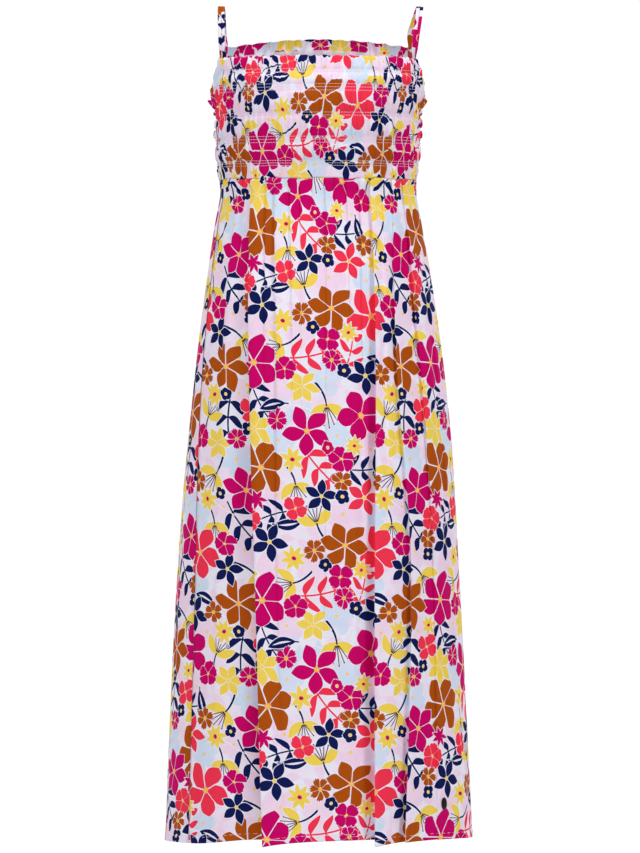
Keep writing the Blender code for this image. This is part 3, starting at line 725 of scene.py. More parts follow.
def bodice_ridges(heights, share, gathers, uneven):
    """Heights of the gathers, drawn anew for each band between two groups of elastic threads."""
    count = len(share)
    middles = [(group[0] + group[-1]) / 2 for group in ELASTIC_GROUPS]
    band_of = np.array([0] * HEADER_ROWS + [sum(h <= m for m in middles) for h in heights])
    ridge = np.zeros((len(band_of), count))
    for band in range(len(middles) + 1):
        counted = share * gathers + RIDGE_WANDER * wander(uneven, count, 17)
        number = np.floor(counted).astype(int) % gathers
        height = np.array([uneven.uniform(RIDGE_LOWEST, 1.0) for _ in range(gathers)])[number]
        folds = counted * FINE_RIDGES + wander(uneven, count, 16)
        fine = np.abs(np.sin(np.pi * folds)) * FINE_RIDGE_SHARE
        ridge[band_of == band] = np.abs(np.sin(np.pi * (counted % 1))) ** 0.7 * height + fine
    ridge[band_of == len(middles)] *= WAIST_BAND_GATHER
    return blended(ridge, band_of)


def bodice_grid(side, cloth):
    """Points, print places and depth below the edge of the shirred panel, and its thread rows."""
    form = Form(side)
    gathers = GATHERS[side]
    columns = gathers * COLUMNS_PER_GATHER
    uneven = random.Random(GATHER_SEED[side])
    share = np.linspace(0, 1, columns + 1)
    here = form.point(GUIDE_Z, share)
    armhole = 1 - armhole_share(here[:, 1])
    header = HEADER_FRONT + (HEADER_UNDERARM - HEADER_FRONT) * armhole
    edge = top_edge(here[:, 0], here[:, 1])
    bend = (edge - header - BENT_ABOVE_Z) / (FIRST_ELASTIC_Z - BENT_ABOVE_Z) - 1
    heights, threads = bodice_heights()
    bent = heights[:, None] + np.maximum(heights - BENT_ABOVE_Z, 0)[:, None] * bend
    fall = np.arange(HEADER_ROWS) / HEADER_ROWS
    z = np.concatenate([edge - fall[:, None] * header, bent])

    open_share = 1 - (1 - armhole) ** 2
    flare = STRAP_FLARE + (ARMHOLE_FLARE - STRAP_FLARE) * open_share
    flare *= np.minimum(armhole * FLARE_START, 1)
    half = form.halves[form.level(GUIDE_Z)[0]]
    from_strap = np.abs(np.abs(here[:, 0]) - STRAP_ACROSS[side] * half)
    free = np.clip(from_strap / (STRAP_WIDTH / 2) - 1, 0, 1)
    side_share = np.minimum(np.abs(here[:, 0]) / half, 1) ** 2
    crest = cloth.gather_middle + (cloth.gather_side - cloth.gather_middle) * side_share

    calm = np.minimum(np.minimum(share, 1 - share) * gathers / CALM_GATHERS, 1)
    waves = 2 * np.pi * (share * gathers / 2 + RUFFLE_WANDER * wander(uneven, columns + 1, 19))
    strength = 1 - RUFFLE_UNEVEN + RUFFLE_UNEVEN * wander(uneven, columns + 1, 13)
    wave = np.cos(waves) * strength * RUFFLE * (1 + ARMHOLE_RUFFLE * armhole) * free * calm

    below = np.zeros(len(heights))
    leaning = np.concatenate([(1 - fall) ** 1.2, below])[:, None]
    ruffled = np.concatenate([np.cos(fall * np.pi / 2) ** 0.8, below])[:, None]
    puff = np.concatenate([HEADER_PUFF * np.sin(np.pi * fall) ** 0.8, puff_at(heights)])[:, None]
    pinch = np.concatenate([np.zeros(HEADER_ROWS), pinch_at(heights)])[:, None]

    ridge = bodice_ridges(heights, share, gathers, uneven)
    ridge *= (1 - THREAD_FLATTENS * pinch) * crest * calm
    ridge[0] *= 0.5
    ridge *= TUCK_LEAST + (1 - TUCK_LEAST) * softened(z - WAIST_Z, 0.0004, SEAM_TUCK)
    raised = PUFF * puff * (0.75 + 0.25 * ridge / np.maximum(crest, 1e-6)) * calm
    sway = leaning * flare + ruffled * wave
    z[: len(RUFFLE_EDGE_LIFTS)] += np.array(RUFFLE_EDGE_LIFTS)[:, None] * wave
    end = SEAM_GAP / 2 / PANEL_WIDTH
    shares = np.clip(share, end, 1 - end) + 0 * z
    point, out = form.frame(z, shares)
    eased = np.exp(-(((z - UNDERARM_EASE_Z) / UNDERARM_EASE_TALL) ** 2)) * side_share
    place = point + out * (sway + raised + ridge - UNDERARM_EASE * eased)[..., None]
    hung = z + seam_waver(place[..., 0], z)
    points = np.concatenate([place, hung[..., None]], -1)

    fullness = FULLNESS_MIDDLE[side] + FULLNESS_SIDE[side] * side_share
    flat = np.concatenate([[0.0], np.cumsum((fullness[1:] + fullness[:-1]) / 2 * np.diff(share))])
    flat = (flat - np.interp(0.5, share, flat)) * form.length(GUIDE_Z)
    steps = np.linalg.norm(np.diff(points, axis=0), axis=-1)
    fallen = np.concatenate([np.zeros((1, columns + 1)), np.cumsum(steps, axis=0)])
    uv = np.stack([np.broadcast_to(flat, z.shape), WAIST_Z - (fallen - fallen[-1:])], -1)
    thread_rows = [HEADER_ROWS + int(np.argmin(np.abs(heights - t))) for t in threads]
    return points, uv, edge - z, thread_rows, flat[-1] - flat[0]


def blended(ridge, band_of):
    """Lets the gathers of one band run softly into those of the next."""
    soft = ridge.copy()
    for row in range(1, len(ridge) - 1):
        near = [r for r in range(row - 2, row + 3) if 0 <= r < len(ridge)]
        if len({band_of[r] for r in near}) > 1:
            soft[row] = np.mean([ridge[r] for r in near], axis=0)
    return soft


def waist_gathers(side, shares, z, form):
    """The short gathers under the waist seam, each with its own length."""
    uneven = random.Random(WAIST_GATHER_SEED[side])
    height = np.zeros(shares.shape)
    fallen = (WAIST_Z - z)[:, None]
    length = form.length(z)[:, None]
    for k in range(WAIST_GATHERS):
        place = (k + 0.5 + uneven.uniform(-0.4, 0.4)) / WAIST_GATHERS
        deep = WAIST_GATHER_DEPTH * uneven.uniform(0.4, 1.3)
        reach = WAIST_GATHER_SPREAD * uneven.uniform(0.35, 1.0) ** 2 * 2
        width = WAIST_GATHER_WIDTH * (1 + WAIST_GATHER_WIDENS * fallen)
        away = (shares - place) * length
        height += deep * np.exp(-fallen / reach) * np.exp(-((away / width) ** 2))
    return height


def crease_height(side, shares, z, form):
    """The listed creases of a skirt panel."""
    height = np.zeros(shares.shape)
    length = form.length(z)[:, None]
    for crease in CREASES[side]:
        along = (crease.start_z - z) / (crease.start_z - crease.stop_z)
        strength = np.sin(np.pi * np.clip(along, 0, 1)) ** 0.7
        middle = crease.start + (crease.stop - crease.start) * along
        away = (shares - middle[:, None]) * length
        height += crease.depth * strength[:, None] * np.exp(-((away / crease.width) ** 2))
    return height


def fold_lines(side, z, form, ease):
    """The place along the row and the depth of each fold at a height."""
    lines = []
    for fold in FOLDS[side]:
        place = form.share_of(z, float(smooth_value(FOLD_HEIGHTS, fold[:4], z)))
        deep = max(float(smooth_value(FOLD_HEIGHTS, fold[4:], z)), 0.0)
        lines.append((place * float(form.length(z)), deep * ease))
    return lines


def swell_at(arc, passed, lines):
    """How far the cloth stands out or in near the folds, which fades slowly from each."""
    height = np.zeros(arc.shape)
    for k, (place, deep) in enumerate(lines):
        away = np.maximum(arc - place if k < passed else place - arc, 0)
        reach = SWELL_REACH if deep > SMALL_FOLD else SMALL_REACH
        height += (1 if k < passed else -1) * deep / 2 * np.exp(-away / reach)
    return height


def drop_at(arc, passed, lines):
    """How much the hem hangs down right of the deepest folds, fading towards the next one."""
    drop = np.zeros(arc.shape)
    for place, deep in lines[:passed]:
        if deep >= PLEAT_DROP_DEPTH:
            drop = PLEAT_DROP * np.exp(-(arc - place) / PLEAT_DROP_REACH)
    return drop


def hem_drop(across):
    """How much lower the hem hangs at shares of the half width, negative on the left."""
    right = HEM_RIGHT_DROP * np.maximum(across, 0) ** 6
    return HEM_MIDDLE_DROP + right + HEM_LEFT_DROP * softened(-across, *HEM_LEFT_FADE)


def skirt_row(side, gaps, z, form):
    """Places along a row, how far each stands out and hangs down: folds round over softly."""
    ease = WAIST_PULL + (1 - WAIST_PULL) * float(softened(WAIST_Z - z, 0.0, WAIST_PULL_FADE))
    lines = fold_lines(side, z, form, ease)
    length = float(form.length(z))
    ends = SEAM_GAP / 2
    soft = [SOFT_FOLD_SPREAD * max(1 - deep / SMALL_FOLD, 0.0) ** 0.5 for _, deep in lines]
    laps = []
    for (_, deep), more in zip(lines, soft):
        small = min(deep / SMALL_FOLD_LAP_DEPTH, 1.0)
        laps.append(FOLD_HALF_GAP + more - FOLD_OVERLAP * deep - SMALL_FOLD_LAP * small)
    starts = [ends] + [place + lap for (place, _), lap in zip(lines, laps)]
    stops = [place - lap for (place, _), lap in zip(lines, laps)] + [length - ends]
    sunk = float(smooth_value(FOLD_HEIGHTS, LEFT_SEAM_SUNK, z)) * ease
    parts = []
    for passed, (start, stop) in enumerate(zip(starts, stops)):
        arc = start + (stop - start) * np.linspace(0, 1, gaps[passed] + 2)
        height = swell_at(arc, passed, lines) - sunk * np.exp(-(arc - ends) / SWELL_REACH)
        height *= np.clip((length - ends - arc) / SEAM_CALM, 0, 1)
        parts.append([arc, height, drop_at(arc, passed, lines)])
    t = np.linspace(0, 1, FOLD_POINTS + 2)[1:-1]
    blend = t * t * (3 - 2 * t)
    row = [parts[0]]
    for (_, deep), one, two in zip(lines, parts, parts[1:]):
        handle = FOLD_ROUND * deep * min(deep / SMALL_FOLD, 1.0)
        handle += (two[0][0] - one[0][-1]) * FOLD_RUN_ON
        turn = [a[-1] + (b[0] - a[-1]) * blend for a, b in zip(one, two)]
        turn[0] = turn[0] + 3 * handle * (t * (1 - t) ** 2 - t * t * (1 - t))
        row += [turn, two]
    return [np.concatenate(values) for values in zip(*row)]


def skirt_heights():
    """Heights of the fine rows, closer below the waist and at the hem's fold."""
    upper = np.arange(WAIST_Z - SEAM_GAP / 2, WAIST_ROWS_END_Z, -ROW_PITCH_WAIST)
    count = round((WAIST_ROWS_END_Z - (HEM_Z + 2 * HEM_FOLD)) / ROW_PITCH)
    lower = np.linspace(WAIST_ROWS_END_Z, HEM_Z + 2 * HEM_FOLD, count)
    fold = HEM_Z + HEM_FOLD
    hem = [fold + 0.0030, fold + 0.0008, fold, fold - 0.0008, fold - 0.0030, HEM_Z + 0.0020, HEM_Z]
    return np.concatenate([[WAIST_Z + SEAM_ALLOWANCE, WAIST_Z + 0.0004], upper, lower, hem])


def skirt_grid(side, cloth):
    """Points and print places of a skirt panel, and the row that its hem stitch runs on."""
    form = Form(side)
    hem_lines = fold_lines(side, HEM_Z, form, 1.0)
    places = [0.0, *(place for place, _ in hem_lines), float(form.length(HEM_Z))]
    gaps = [max(1, round((b - a) / COLUMN_PITCH) - 1) for a, b in zip(places, places[1:])]
    heights = skirt_heights()
    made = zip(*(skirt_row(side, gaps, z, form) for z in heights))
    arc, high, drop = (np.array(rows) for rows in made)
    length = form.length(heights)[:, None]
    shares = arc / length
    calm = np.clip(np.minimum(arc, length - arc) / SEAM_CALM, 0, 1)
    fallen = WAIST_Z - heights
    rising = softened(fallen, 0.0, 0.005)[:, None]
    at_seam = WAIST_GATHER_AT_SEAM + (1 - WAIST_GATHER_AT_SEAM) * rising
    soft = crease_height(side, shares, heights, form) * cloth.crease
    high = high + calm * (soft + waist_gathers(side, shares, heights, form) * at_seam)
    high[-5:] += HEM_FOLD_THICK * calm[-5:]
    puffed = np.exp(-np.maximum(fallen, 0) / WAIST_PUFF_FADE)[:, None]
    high += SKIRT_PUFF * PUFF * WAIST_PUFF * puffed * calm
    high -= SEAM_ALLOWANCE_SUNK * (heights > WAIST_Z)[:, None]
    low = np.clip((PLEAT_DROP_START_Z - heights) / (PLEAT_DROP_START_Z - HEM_Z), 0, 1)
    point, out = form.frame(heights[:, None] + 0 * arc, shares)
    half_width = table_value(SECTIONS, "half_width", heights)[:, None]
    drop = drop + hem_drop(point[..., 0] / half_width)
    z = heights[:, None] - drop * low[:, None] + seam_waver(point[..., 0], heights[:, None])
    points = np.concatenate([point + out * high[..., None], z[..., None]], -1)

    flat_steps = np.linalg.norm(np.diff(points, axis=1), axis=-1)
    gone = np.concatenate([np.zeros((len(heights), 1)), np.cumsum(flat_steps, axis=1)], axis=1)
    middle = np.array([np.interp(0.5, s, g) for s, g in zip(np.sort(shares, 1), gone)])[:, None]
    full = gone[:, -1]
    plain = full[np.argmin(np.abs(heights - SKIRT_CUT_PLAIN_Z))]
    waist = SKIRT_CUT_WAIST[side]
    cut = waist + (plain - waist) * np.clip(fallen / (WAIST_Z - SKIRT_CUT_PLAIN_Z), 0, 1)
    cut = np.where(heights > SKIRT_CUT_PLAIN_Z, np.maximum(cut, full), full)
    u = (gone - middle) * (cut / full)[:, None]
    depth = form.point(heights, np.full(len(heights), 0.5))[:, 1]
    hung = np.concatenate([[0.0], np.cumsum(np.hypot(np.diff(heights), np.diff(depth)))])
    uv = np.stack([u, WAIST_Z - hung[:, None] - drop * low[:, None]], -1)
    return points, uv, len(heights) - 5, float(full[-1]), float(hung[-1])


def node_method(operation, behind=False):
    """A method that puts its value and the numbers given through a maths node."""

    def method(self, *others):
        return self.graph.math(operation, *((*others, self) if behind else (self, *others)))

    return method


class Value:
    """An output of a node, which can be used in sums like a number."""

    def __init__(self, graph, socket):
        self.graph = graph
        self.socket = socket

    __add__ = __radd__ = node_method("ADD")
    __sub__ = node_method("SUBTRACT")
    __rsub__ = node_method("SUBTRACT", behind=True)
    __mul__ = __rmul__ = node_method("MULTIPLY")
    __truediv__ = node_method("DIVIDE")
    __rtruediv__ = node_method("DIVIDE", behind=True)
    __mod__ = node_method("FLOORED_MODULO")
    __pow__ = node_method("POWER")
    __gt__ = node_method("GREATER_THAN")
    __lt__ = node_method("LESS_THAN")
    __abs__ = node_method("ABSOLUTE")
    at_most = node_method("MINIMUM")
    at_least = node_method("MAXIMUM")
    fit = node_method("MULTIPLY_ADD")
    floor = node_method("FLOOR")
    nearest = node_method("ROUND")
    fraction = node_method("FRACT")
    sine = node_method("SINE")
    cosine = node_method("COSINE")
    tangent = node_method("TANGENT")
    angle = node_method("ARCTAN2")

    def outputs(self):
        """All outputs of the same node by name."""
        return {socket.name: Value(self.graph, socket) for socket in self.socket.node.outputs}


class Graph:
    """A node tree that is being made, with short calls for its nodes."""

    def __init__(self, tree):
        self.tree = tree

    @classmethod
    def group(cls, name, inputs, outputs):
        """A new node group: each input has its kind or a number, each output its kind."""
        graph = cls(bpy.data.node_groups.new(name, "ShaderNodeTree"))
        new_socket = graph.tree.interface.new_socket
        for label, given in inputs.items():
            number = isinstance(given, float)
            kind = "Float" if number else given
            socket = new_socket(label, in_out="INPUT", socket_type=f"NodeSocket{kind}")
            if number:
                socket.default_value = given
        for label, kind in outputs.items():
            new_socket(label, in_out="OUTPUT", socket_type=f"NodeSocket{kind}")
        graph.start = graph.tree.nodes.new("NodeGroupInput")
        graph.end = graph.tree.nodes.new("NodeGroupOutput")
        return graph

    def __getitem__(self, label):
        return Value(self, self.start.outputs[label])

    def __setitem__(self, label, value):
        self.feed(self.end.inputs[label], value)

    def feed(self, socket, value):
        if isinstance(value, Value):
            self.tree.links.new(value.socket, socket)
        elif value is not None:
            socket.default_value = value

    def node(self, kind, inputs=(), output=0, **settings):
        """One output of a new node, whose inputs are fed by name or number."""
        node = self.tree.nodes.new(f"ShaderNode{kind}")
        for name, value in settings.items():
            setattr(node, name, value)
        for label, value in dict(inputs).items():
            self.feed(node.inputs[label], value)
        return Value(self, node.outputs[output])

    def math(self, operation, *values):
        return self.node("Math", enumerate(values), operation=operation)

    def vector(self, operation, *values, **named):
        """A vector node's result, which is a number for a length or a product."""
        inputs = {**dict(enumerate(values)), **named}
        output = "Value" if operation in ("LENGTH", "DOT_PRODUCT") else "Vector"
        return self.node("VectorMath", inputs, output, operation=operation)

    def axes(self, vector):
        """The X and Y of a vector, without a third output that would stay unused."""
        return [self.vector("DOT_PRODUCT", vector, axis) for axis in ((1.0, 0.0, 0.0), (0.0, 1.0, 0.0))]

    def split(self, vector):
        return self.node("SeparateXYZ", {0: vector}).outputs().values()

    def joined(self, x, y):
        return self.node("CombineXYZ", {0: x, 1: y})

    def mix(self, share, first, second):
        return self.node("Mix", {"Factor": share, 6: first, 7: second}, 2, data_type="RGBA")

    def noise(self, place, scale, detail=2.0):
        """A soft random value at each place."""
        return self.node("TexNoise", {"Vector": place, "Scale": scale, "Detail": detail}, "Fac")

    def chart(self, number, rows):
        """One colour of a short list, picked by the middle of its share from 0 to 1."""
        picked = self.node("ValToRGB", {0: number})
        ramp = picked.socket.node.color_ramp
        ramp.interpolation = "CONSTANT"
        while len(ramp.elements) < len(rows):
            ramp.elements.new(0.5)
        for k, row in enumerate(rows):
            ramp.elements[k].position = k / len(rows)
            ramp.elements[k].color = row
        return picked.outputs()

    def place(self, name, **values):
        """The outputs of a node of an earlier group, with its inputs fed by name."""
        inputs = {label.replace("_", " "): value for label, value in values.items()}
        return self.node("Group", inputs, node_tree=bpy.data.node_groups[name]).outputs()


def cell_group():
    """Finds the cell of the repeat and the place in it, measured from the cell's middle."""
    g = Graph.group(
        "Print cell", {"Cloth": "Vector", "Shift": "Vector"}, {"Local": "Vector", "Kind": "Float"}
    )
    x, y = g.axes(g.vector("SUBTRACT", g["Cloth"], g["Shift"]))
    across = x / CELL_WIDTH
    column = across.floor()
    odd = column % 2.0
    down = y / CELL_HEIGHT + odd * 0.5
    row = down.floor()
    g["Local"] = g.joined((across - column - 0.5) * CELL_WIDTH, (down - row - 0.5) * CELL_HEIGHT)
    g["Kind"] = (row % 2.0).fit(0.5, odd.fit(0.25, 0.125))


def petals_group():
    """A ring of petals of radius 1: above 0 inside one, in shares of the radius."""
    g = Graph.group("Petal ring", PETAL_RING, {"Inside": "Float"})
    x, y = g.axes(g["Local"])
    radius = g.vector("LENGTH", g["Local"])
    turn = y.angle(x)
    sector = 2 * math.pi / g["Petals"]
    number = (turn / sector).nearest()
    off = turn - number * sector
    mixed = ((number % g["Petals"] + g["Seed"]) * 12.9898).sine()
    uneven = (mixed * 437.585).fraction() - 0.5
    along = radius * off.cosine()
    aside = radius * off.sine()
    side = along * (sector * 0.5).tangent()
    free = side - g["Gap"] * uneven.fit(1.6, 1.0) - abs(aside)
    aside = aside + (uneven * 0.35 + g["Lean"]) * (along * along)
    tooth = (aside * 9.0 / g["Width"]).cosine()
    length = tooth.fit(g["Teeth"], uneven.fit(0.14, 0.93))
    past = along / length - g["Widest"]
    away = (past / (0.0 - g["Widest"])).at_least(past / (1.0 - g["Widest"])).at_most(1.0)
    width = (1.0 - away ** g["Round"]) * g["Width"]
    g["Inside"] = (width - abs(aside)).at_most(free).at_most(length - along)


def flower_group():
    """A flower of petals round a spotted middle."""
    inputs = {**PETAL_RING, "Middle": 0.12, "Oval": 1.0}
    inputs |= {"Petal colour": "Color", "Ring colour": "Color", "Dot colour": "Color"}
    g = Graph.group("Flower", inputs, {"Colour": "Color", "Inside": "Float"})
    ring = g.place("Petal ring", **{label: g[label] for label in PETAL_RING})["Inside"]
    x, y = g.axes(g["Local"])
    spot = g.vector("LENGTH", g.joined(x * g["Oval"], y))
    middle = g["Middle"] - spot
    dot = g["Middle"] * 0.55 - spot
    colour = g.mix(middle > 0.0, g["Petal colour"], g["Ring colour"])
    g["Colour"] = g.mix(dot > 0.0, colour, g["Dot colour"])
    g["Inside"] = ring.at_least(middle)


def sprig_group():
    """A thin stem along Y with pairs of curved leaves that shorten towards its tip."""
    inputs = {"Local": "Vector", "Leaf width": 0.14, "Stem": 0.030}
    g = Graph.group("Sprig", inputs, {"Inside": "Float"})
    x, y = g.axes(g["Local"])
    wide = abs(x + y * y * 0.12)
    pitch = 0.56
    step = (y + 0.52 - (wide * wide).fit(0.85, wide * 0.12)) / pitch
    number = step.nearest().at_least(0.0).at_most(2.0)
    length = number.fit(-0.09, 0.68)
    bulge = ((wide / length).at_most(1.0) ** 1.2 * math.pi).sine()
    width = bulge.at_least(0.0) ** 0.8 * g["Leaf width"]
    leaf = (width - abs((step - number) * pitch)).at_most(length - wide)
    stem = (g["Stem"] - wide).at_most(0.96 - abs(y))
    g["Inside"] = leaf.at_least(stem)


def bell_group():
    """A bell of two long petals with a fan of thin stamens, on a curved stem."""
    inputs = {"Local": "Vector"}
    inputs |= {"Petal colour": "Color", "Stem colour": "Color", "Stamen colour": "Color"}
    g = Graph.group("Bell", inputs, {"Colour": "Color", "Inside": "Float"})
    x, y = g.axes(g["Local"])
    wide = abs(x)
    spread = math.radians(50)
    along = y * math.cos(spread) + wide * math.sin(spread)
    aside = wide * math.cos(spread) - y * math.sin(spread) - (along * 3.0).sine() * 0.08
    share = (along / 0.98).at_least(0.0001).at_most(1.0)
    bulge = (share ** 0.85 * math.pi).sine()
    petal = (bulge.at_least(0.0) ** 0.70 * 0.205 - abs(aside)).at_most(0.98 - along)
    radius = g.vector("LENGTH", g["Local"])
    gap = math.radians(15.0)
    ray = x.angle(y) / gap
    number = ray.nearest().at_least(-2.0).at_most(2.0)
    from_ray = abs(ray - number) * gap * radius
    long = 0.92 - abs(number) * 0.09
    line = (0.020 - from_ray).at_most((long - radius).at_most(y - 0.10))
    tip = g.vector("LENGTH", g.joined(from_ray, radius - long))
    stamen = line.at_least(0.034 - tip).at_most(y)
    stem = y.fit(-0.028, 0.034) - abs(x - y * y * 0.38)
    stem = stem.at_most((0.06 - y).at_most(y + 0.93))
    colour = g.mix(stamen > 0.0, g["Petal colour"], g["Stamen colour"])
    g["Colour"] = g.mix(stem > 0.0, colour, g["Stem colour"])
    g["Inside"] = petal.at_least(stamen.at_least(stem))


def leaf_group():
    """A pointed leaf along Y with an open slit down its middle, on a short stalk."""
    g = Graph.group("Slit leaf", {"Local": "Vector"}, {"Inside": "Float"})
    x, y = g.axes(g["Local"])
    wide = abs(x + y * y * 0.15)
    share = y.fit(0.56, 0.44).at_least(0.0001).at_most(1.0)
    width = (share * math.pi).sine().at_least(0.0) ** 0.8 * 0.34
    leaf = (width - wide).at_most(wide - (width - 0.18) * 0.40)
    stalk = (0.045 - wide).at_most(-0.7 - y).at_most(y + 0.98)
    g["Inside"] = leaf.at_least(stalk)


def spread_motifs():
    """Places and turns of every motif, pushed apart in the repeating tile until they just touch."""
    uneven = random.Random(PRINT_SEED)
    kinds = [(odd, second) for second in range(2) for odd in range(2)]
    tile = np.array([2 * CELL_WIDTH, 2 * CELL_HEIGHT])
    home, reach, room = [], [], []
    for motif in MOTIFS:
        for odd, second in kinds:
            x = (odd + motif.across) * CELL_WIDTH
            y = (second + motif.down - 0.5 * odd) * CELL_HEIGHT
            home.append((x, y))
            reach.append(motif.reach)
            room.append(motif.room)
    home, reach, room = np.array(home), np.array(reach), np.array(room)
    limit = np.stack([CELL_WIDTH / 2 - reach * 1.04, CELL_HEIGHT / 2 - reach * 1.04], 1)
    moved = np.array([[uneven.uniform(-0.012, 0.012) for _ in range(2)] for _ in home])
    for _ in range(SPREAD_STEPS):
        place = home + moved
        apart = place[:, None, :] - place[None, :, :]
        apart -= tile * np.round(apart / tile)
        far = np.linalg.norm(apart, axis=-1) + np.eye(len(home))
        close = np.maximum((room[:, None] + room[None, :]) * SPREAD_TOUCH - far, 0)
        close *= 1 - np.eye(len(home))
        push = (apart / far[..., None] * close[..., None]).sum(1) * SPREAD_PUSH
        moved = np.clip(moved + push, -limit, limit)
    turns = [uneven.uniform(0, 1) for _ in home]
    return moved.reshape(len(MOTIFS), 4, 2), np.array(turns).reshape(len(MOTIFS), 4)


def print_group(colours):
    """The whole print on the cloth's own flat coordinates."""
    for make in (cell_group, petals_group, flower_group, sprig_group, bell_group, leaf_group):
        make()
    g = Graph.group("Flower print", {"Cloth": "Vector"}, {"Colour": "Color"})
    moved, turns = spread_motifs()
    ground = (*colours.ground, 1.0)
    wash = g.noise(g["Cloth"], WASH_FINE)
    pink = (g.noise(g["Cloth"], WASH_BROAD) - WASH_START).at_least(0.0) * WASH_RISE
    paint = g.mix(pink.at_most(WASH_MOST), ground, (*colours.blush, 1.0))
    for number, motif in enumerate(MOTIFS):
        home = ((motif.across - 0.5) * CELL_WIDTH, (motif.down - 0.5) * CELL_HEIGHT, 0.0)
        cell = g.place("Print cell", Cloth=g["Cloth"], Shift=home)
        spots = [
            (*(moved[number][k] / CHART_ROOM + 0.5), turns[number][k], motif.petals[k] / 10)
            for k in range(4)
        ]
        chart = g.chart(cell["Kind"], spots)
        *spot, turn = g.split(chart["Color"])
        spot = g.joined(*(share.fit(CHART_ROOM, -CHART_ROOM / 2) for share in spot))
        local = g.vector("SUBTRACT", cell["Local"], spot)
        turned = {"Vector": local, "Angle": turn * (2 * math.pi)}
        local = g.node("VectorRotate", turned, rotation_type="Z_AXIS")
        local = g.vector("SCALE", local, Scale=1 / motif.reach)
        tints = [(*getattr(colours, name), 1.0) for name in motif.colours]
        tint = g.chart(cell["Kind"], tints)["Color"] if len(set(tints)) > 1 else tints[0]
        if motif.form in PETALS:
            shape = {name.capitalize(): value for name, value in PETALS[motif.form]._asdict().items()}
            ring, dot = ((*getattr(colours, name), 1.0) for name in CENTRES[motif.form])
            petals = float(motif.petals[0])
            if len(set(motif.petals)) > 1:
                petals = (chart["Alpha"] * 10.0).nearest()
            made = g.place(
                "Flower", Local=local, Petals=petals, Seed=cell["Kind"].fit(40.0, 13.0 * number),
                Petal_colour=tint, Ring_colour=ring, Dot_colour=dot, **shape,
            )
        elif motif.form == "bell":
            made = g.place("Bell", Local=local, Petal_colour=tint, Stem_colour=(*colours.navy, 1.0),
                           Stamen_colour=(*STAMEN_COLOUR, 1.0))
        elif motif.form == "leaf":
            made = g.place("Slit leaf", Local=local)
        else:
            leaf_width, stem = SPRIGS[motif.form]
            made = g.place("Sprig", Local=local, Leaf_width=leaf_width, Stem=stem)
        colour, inside = made.get("Colour", tint), made["Inside"]
        if motif.form in WATERCOLOUR:
            share = (inside * WATERCOLOUR_EDGE).at_least(0.0).at_most(1.0)
            paint = g.mix((share * wash.fit(0.9, 0.35)).at_most(1.0), paint, colour)
        else:
            paint = g.mix(inside > -HALO / motif.reach, paint, ground)
            paint = g.mix(inside > 0.0, paint, colour)
    g["Colour"] = paint


def weave_group():
    """Height of a plain weave with slightly uneven threads, and of fine soft wrinkles."""
    inputs = {"Cloth": "Vector", "Pitch": 0.0006}
    g = Graph.group("Weave", inputs, {"Height": "Float", "Wrinkle": "Float"})
    x, y = g.axes(g.vector("SCALE", g["Cloth"], Scale=math.pi / g["Pitch"]))
    g["Height"] = g.noise(g["Cloth"], 900.0).fit(0.5, x.sine() * y.sine())
    g["Wrinkle"] = g.noise(g.vector("MULTIPLY", g["Cloth"], (2.2, 0.8, 1.0)), 26.0, 3.0)


def new_material(name, **settings):
    """A named material, its graph and its surface with some inputs set."""
    material = bpy.data.materials.new(name)
    material.use_nodes = True
    surface = material.node_tree.nodes["Principled BSDF"]
    for label, value in settings.items():
        surface.inputs[label.replace("_", " ")].default_value = value
    return material, Graph(material.node_tree), surface


def cloth_materials(scene):
    """The printed right side and the paler wrong side of the cloth."""
    names = ("cloth_right_side", "cloth_wrong_side")
    if names[0] in bpy.data.materials:
        return [bpy.data.materials[name] for name in names]
    print_group(scene.dress_colours)
    weave_group()
    made = []
    for name in names:
        material, g, surface = new_material(name, Roughness=0.78, Specular_IOR_Level=0.06)
        uv = g.node("UVMap", uv_map="cloth")
        paint = g.place("Flower print", Cloth=uv)["Colour"]
        if name == names[1]:
            down = g.node("Attribute", output="Fac", attribute_name="down")
            pale = g.mix(WRONG_SIDE_PALE, paint, (*WRONG_SIDE_COLOUR, 1.0))
            paint = g.mix((down < FACING_DEPTH) * (down > 0.0), pale, paint)
        g.feed(surface.inputs["Base Color"], paint)
        weave = g.place("Weave", Cloth=uv, Pitch=scene.dress_cloth.weave)
        normal = None
        for label, strength, distance in (("Height", 0.10, 0.0002), ("Wrinkle", 0.5, 0.0016)):
            bump = {"Strength": strength, "Distance": distance, "Height": weave[label], "Normal": normal}
            normal = g.node("Bump", bump)
        g.feed(surface.inputs["Normal"], normal)
        made.append(material)
    return made


def speckled_material(name, first, second, grain, detail=2.0, **settings):
    """A material whose colour wanders between two tones, with its graph, surface and specks."""
    material, g, surface = new_material(name, **settings)
    specks = g.noise(g.node("TexCoord", output="Object"), grain, detail)
    g.feed(surface.inputs["Base Color"], g.mix(specks, (*first, 1.0), (*second, 1.0)))
    return material, g, surface, specks


def thread_material(scene):
    """Pale twisted thread."""
    if "thread" in bpy.data.materials:
        return bpy.data.materials["thread"]
    base = scene.dress_colours.thread
    return speckled_material("thread", [c * 0.80 for c in base], base, 1400.0, Roughness=0.6)[0]


def badge_material(scene):
    """Glossy black with faint rubbing marks."""
    base = scene.dress_colours.badge
    material, g, surface, specks = speckled_material(
        "badge_gloss", base, [c * 1.6 + 0.002 for c in base], 420.0, 3.0,
        Specular_IOR_Level=0.2, Coat_Weight=0.15, Coat_Roughness=0.08,
    )
    g.feed(surface.inputs["Roughness"], specks.fit(0.18, 0.14))
    return material


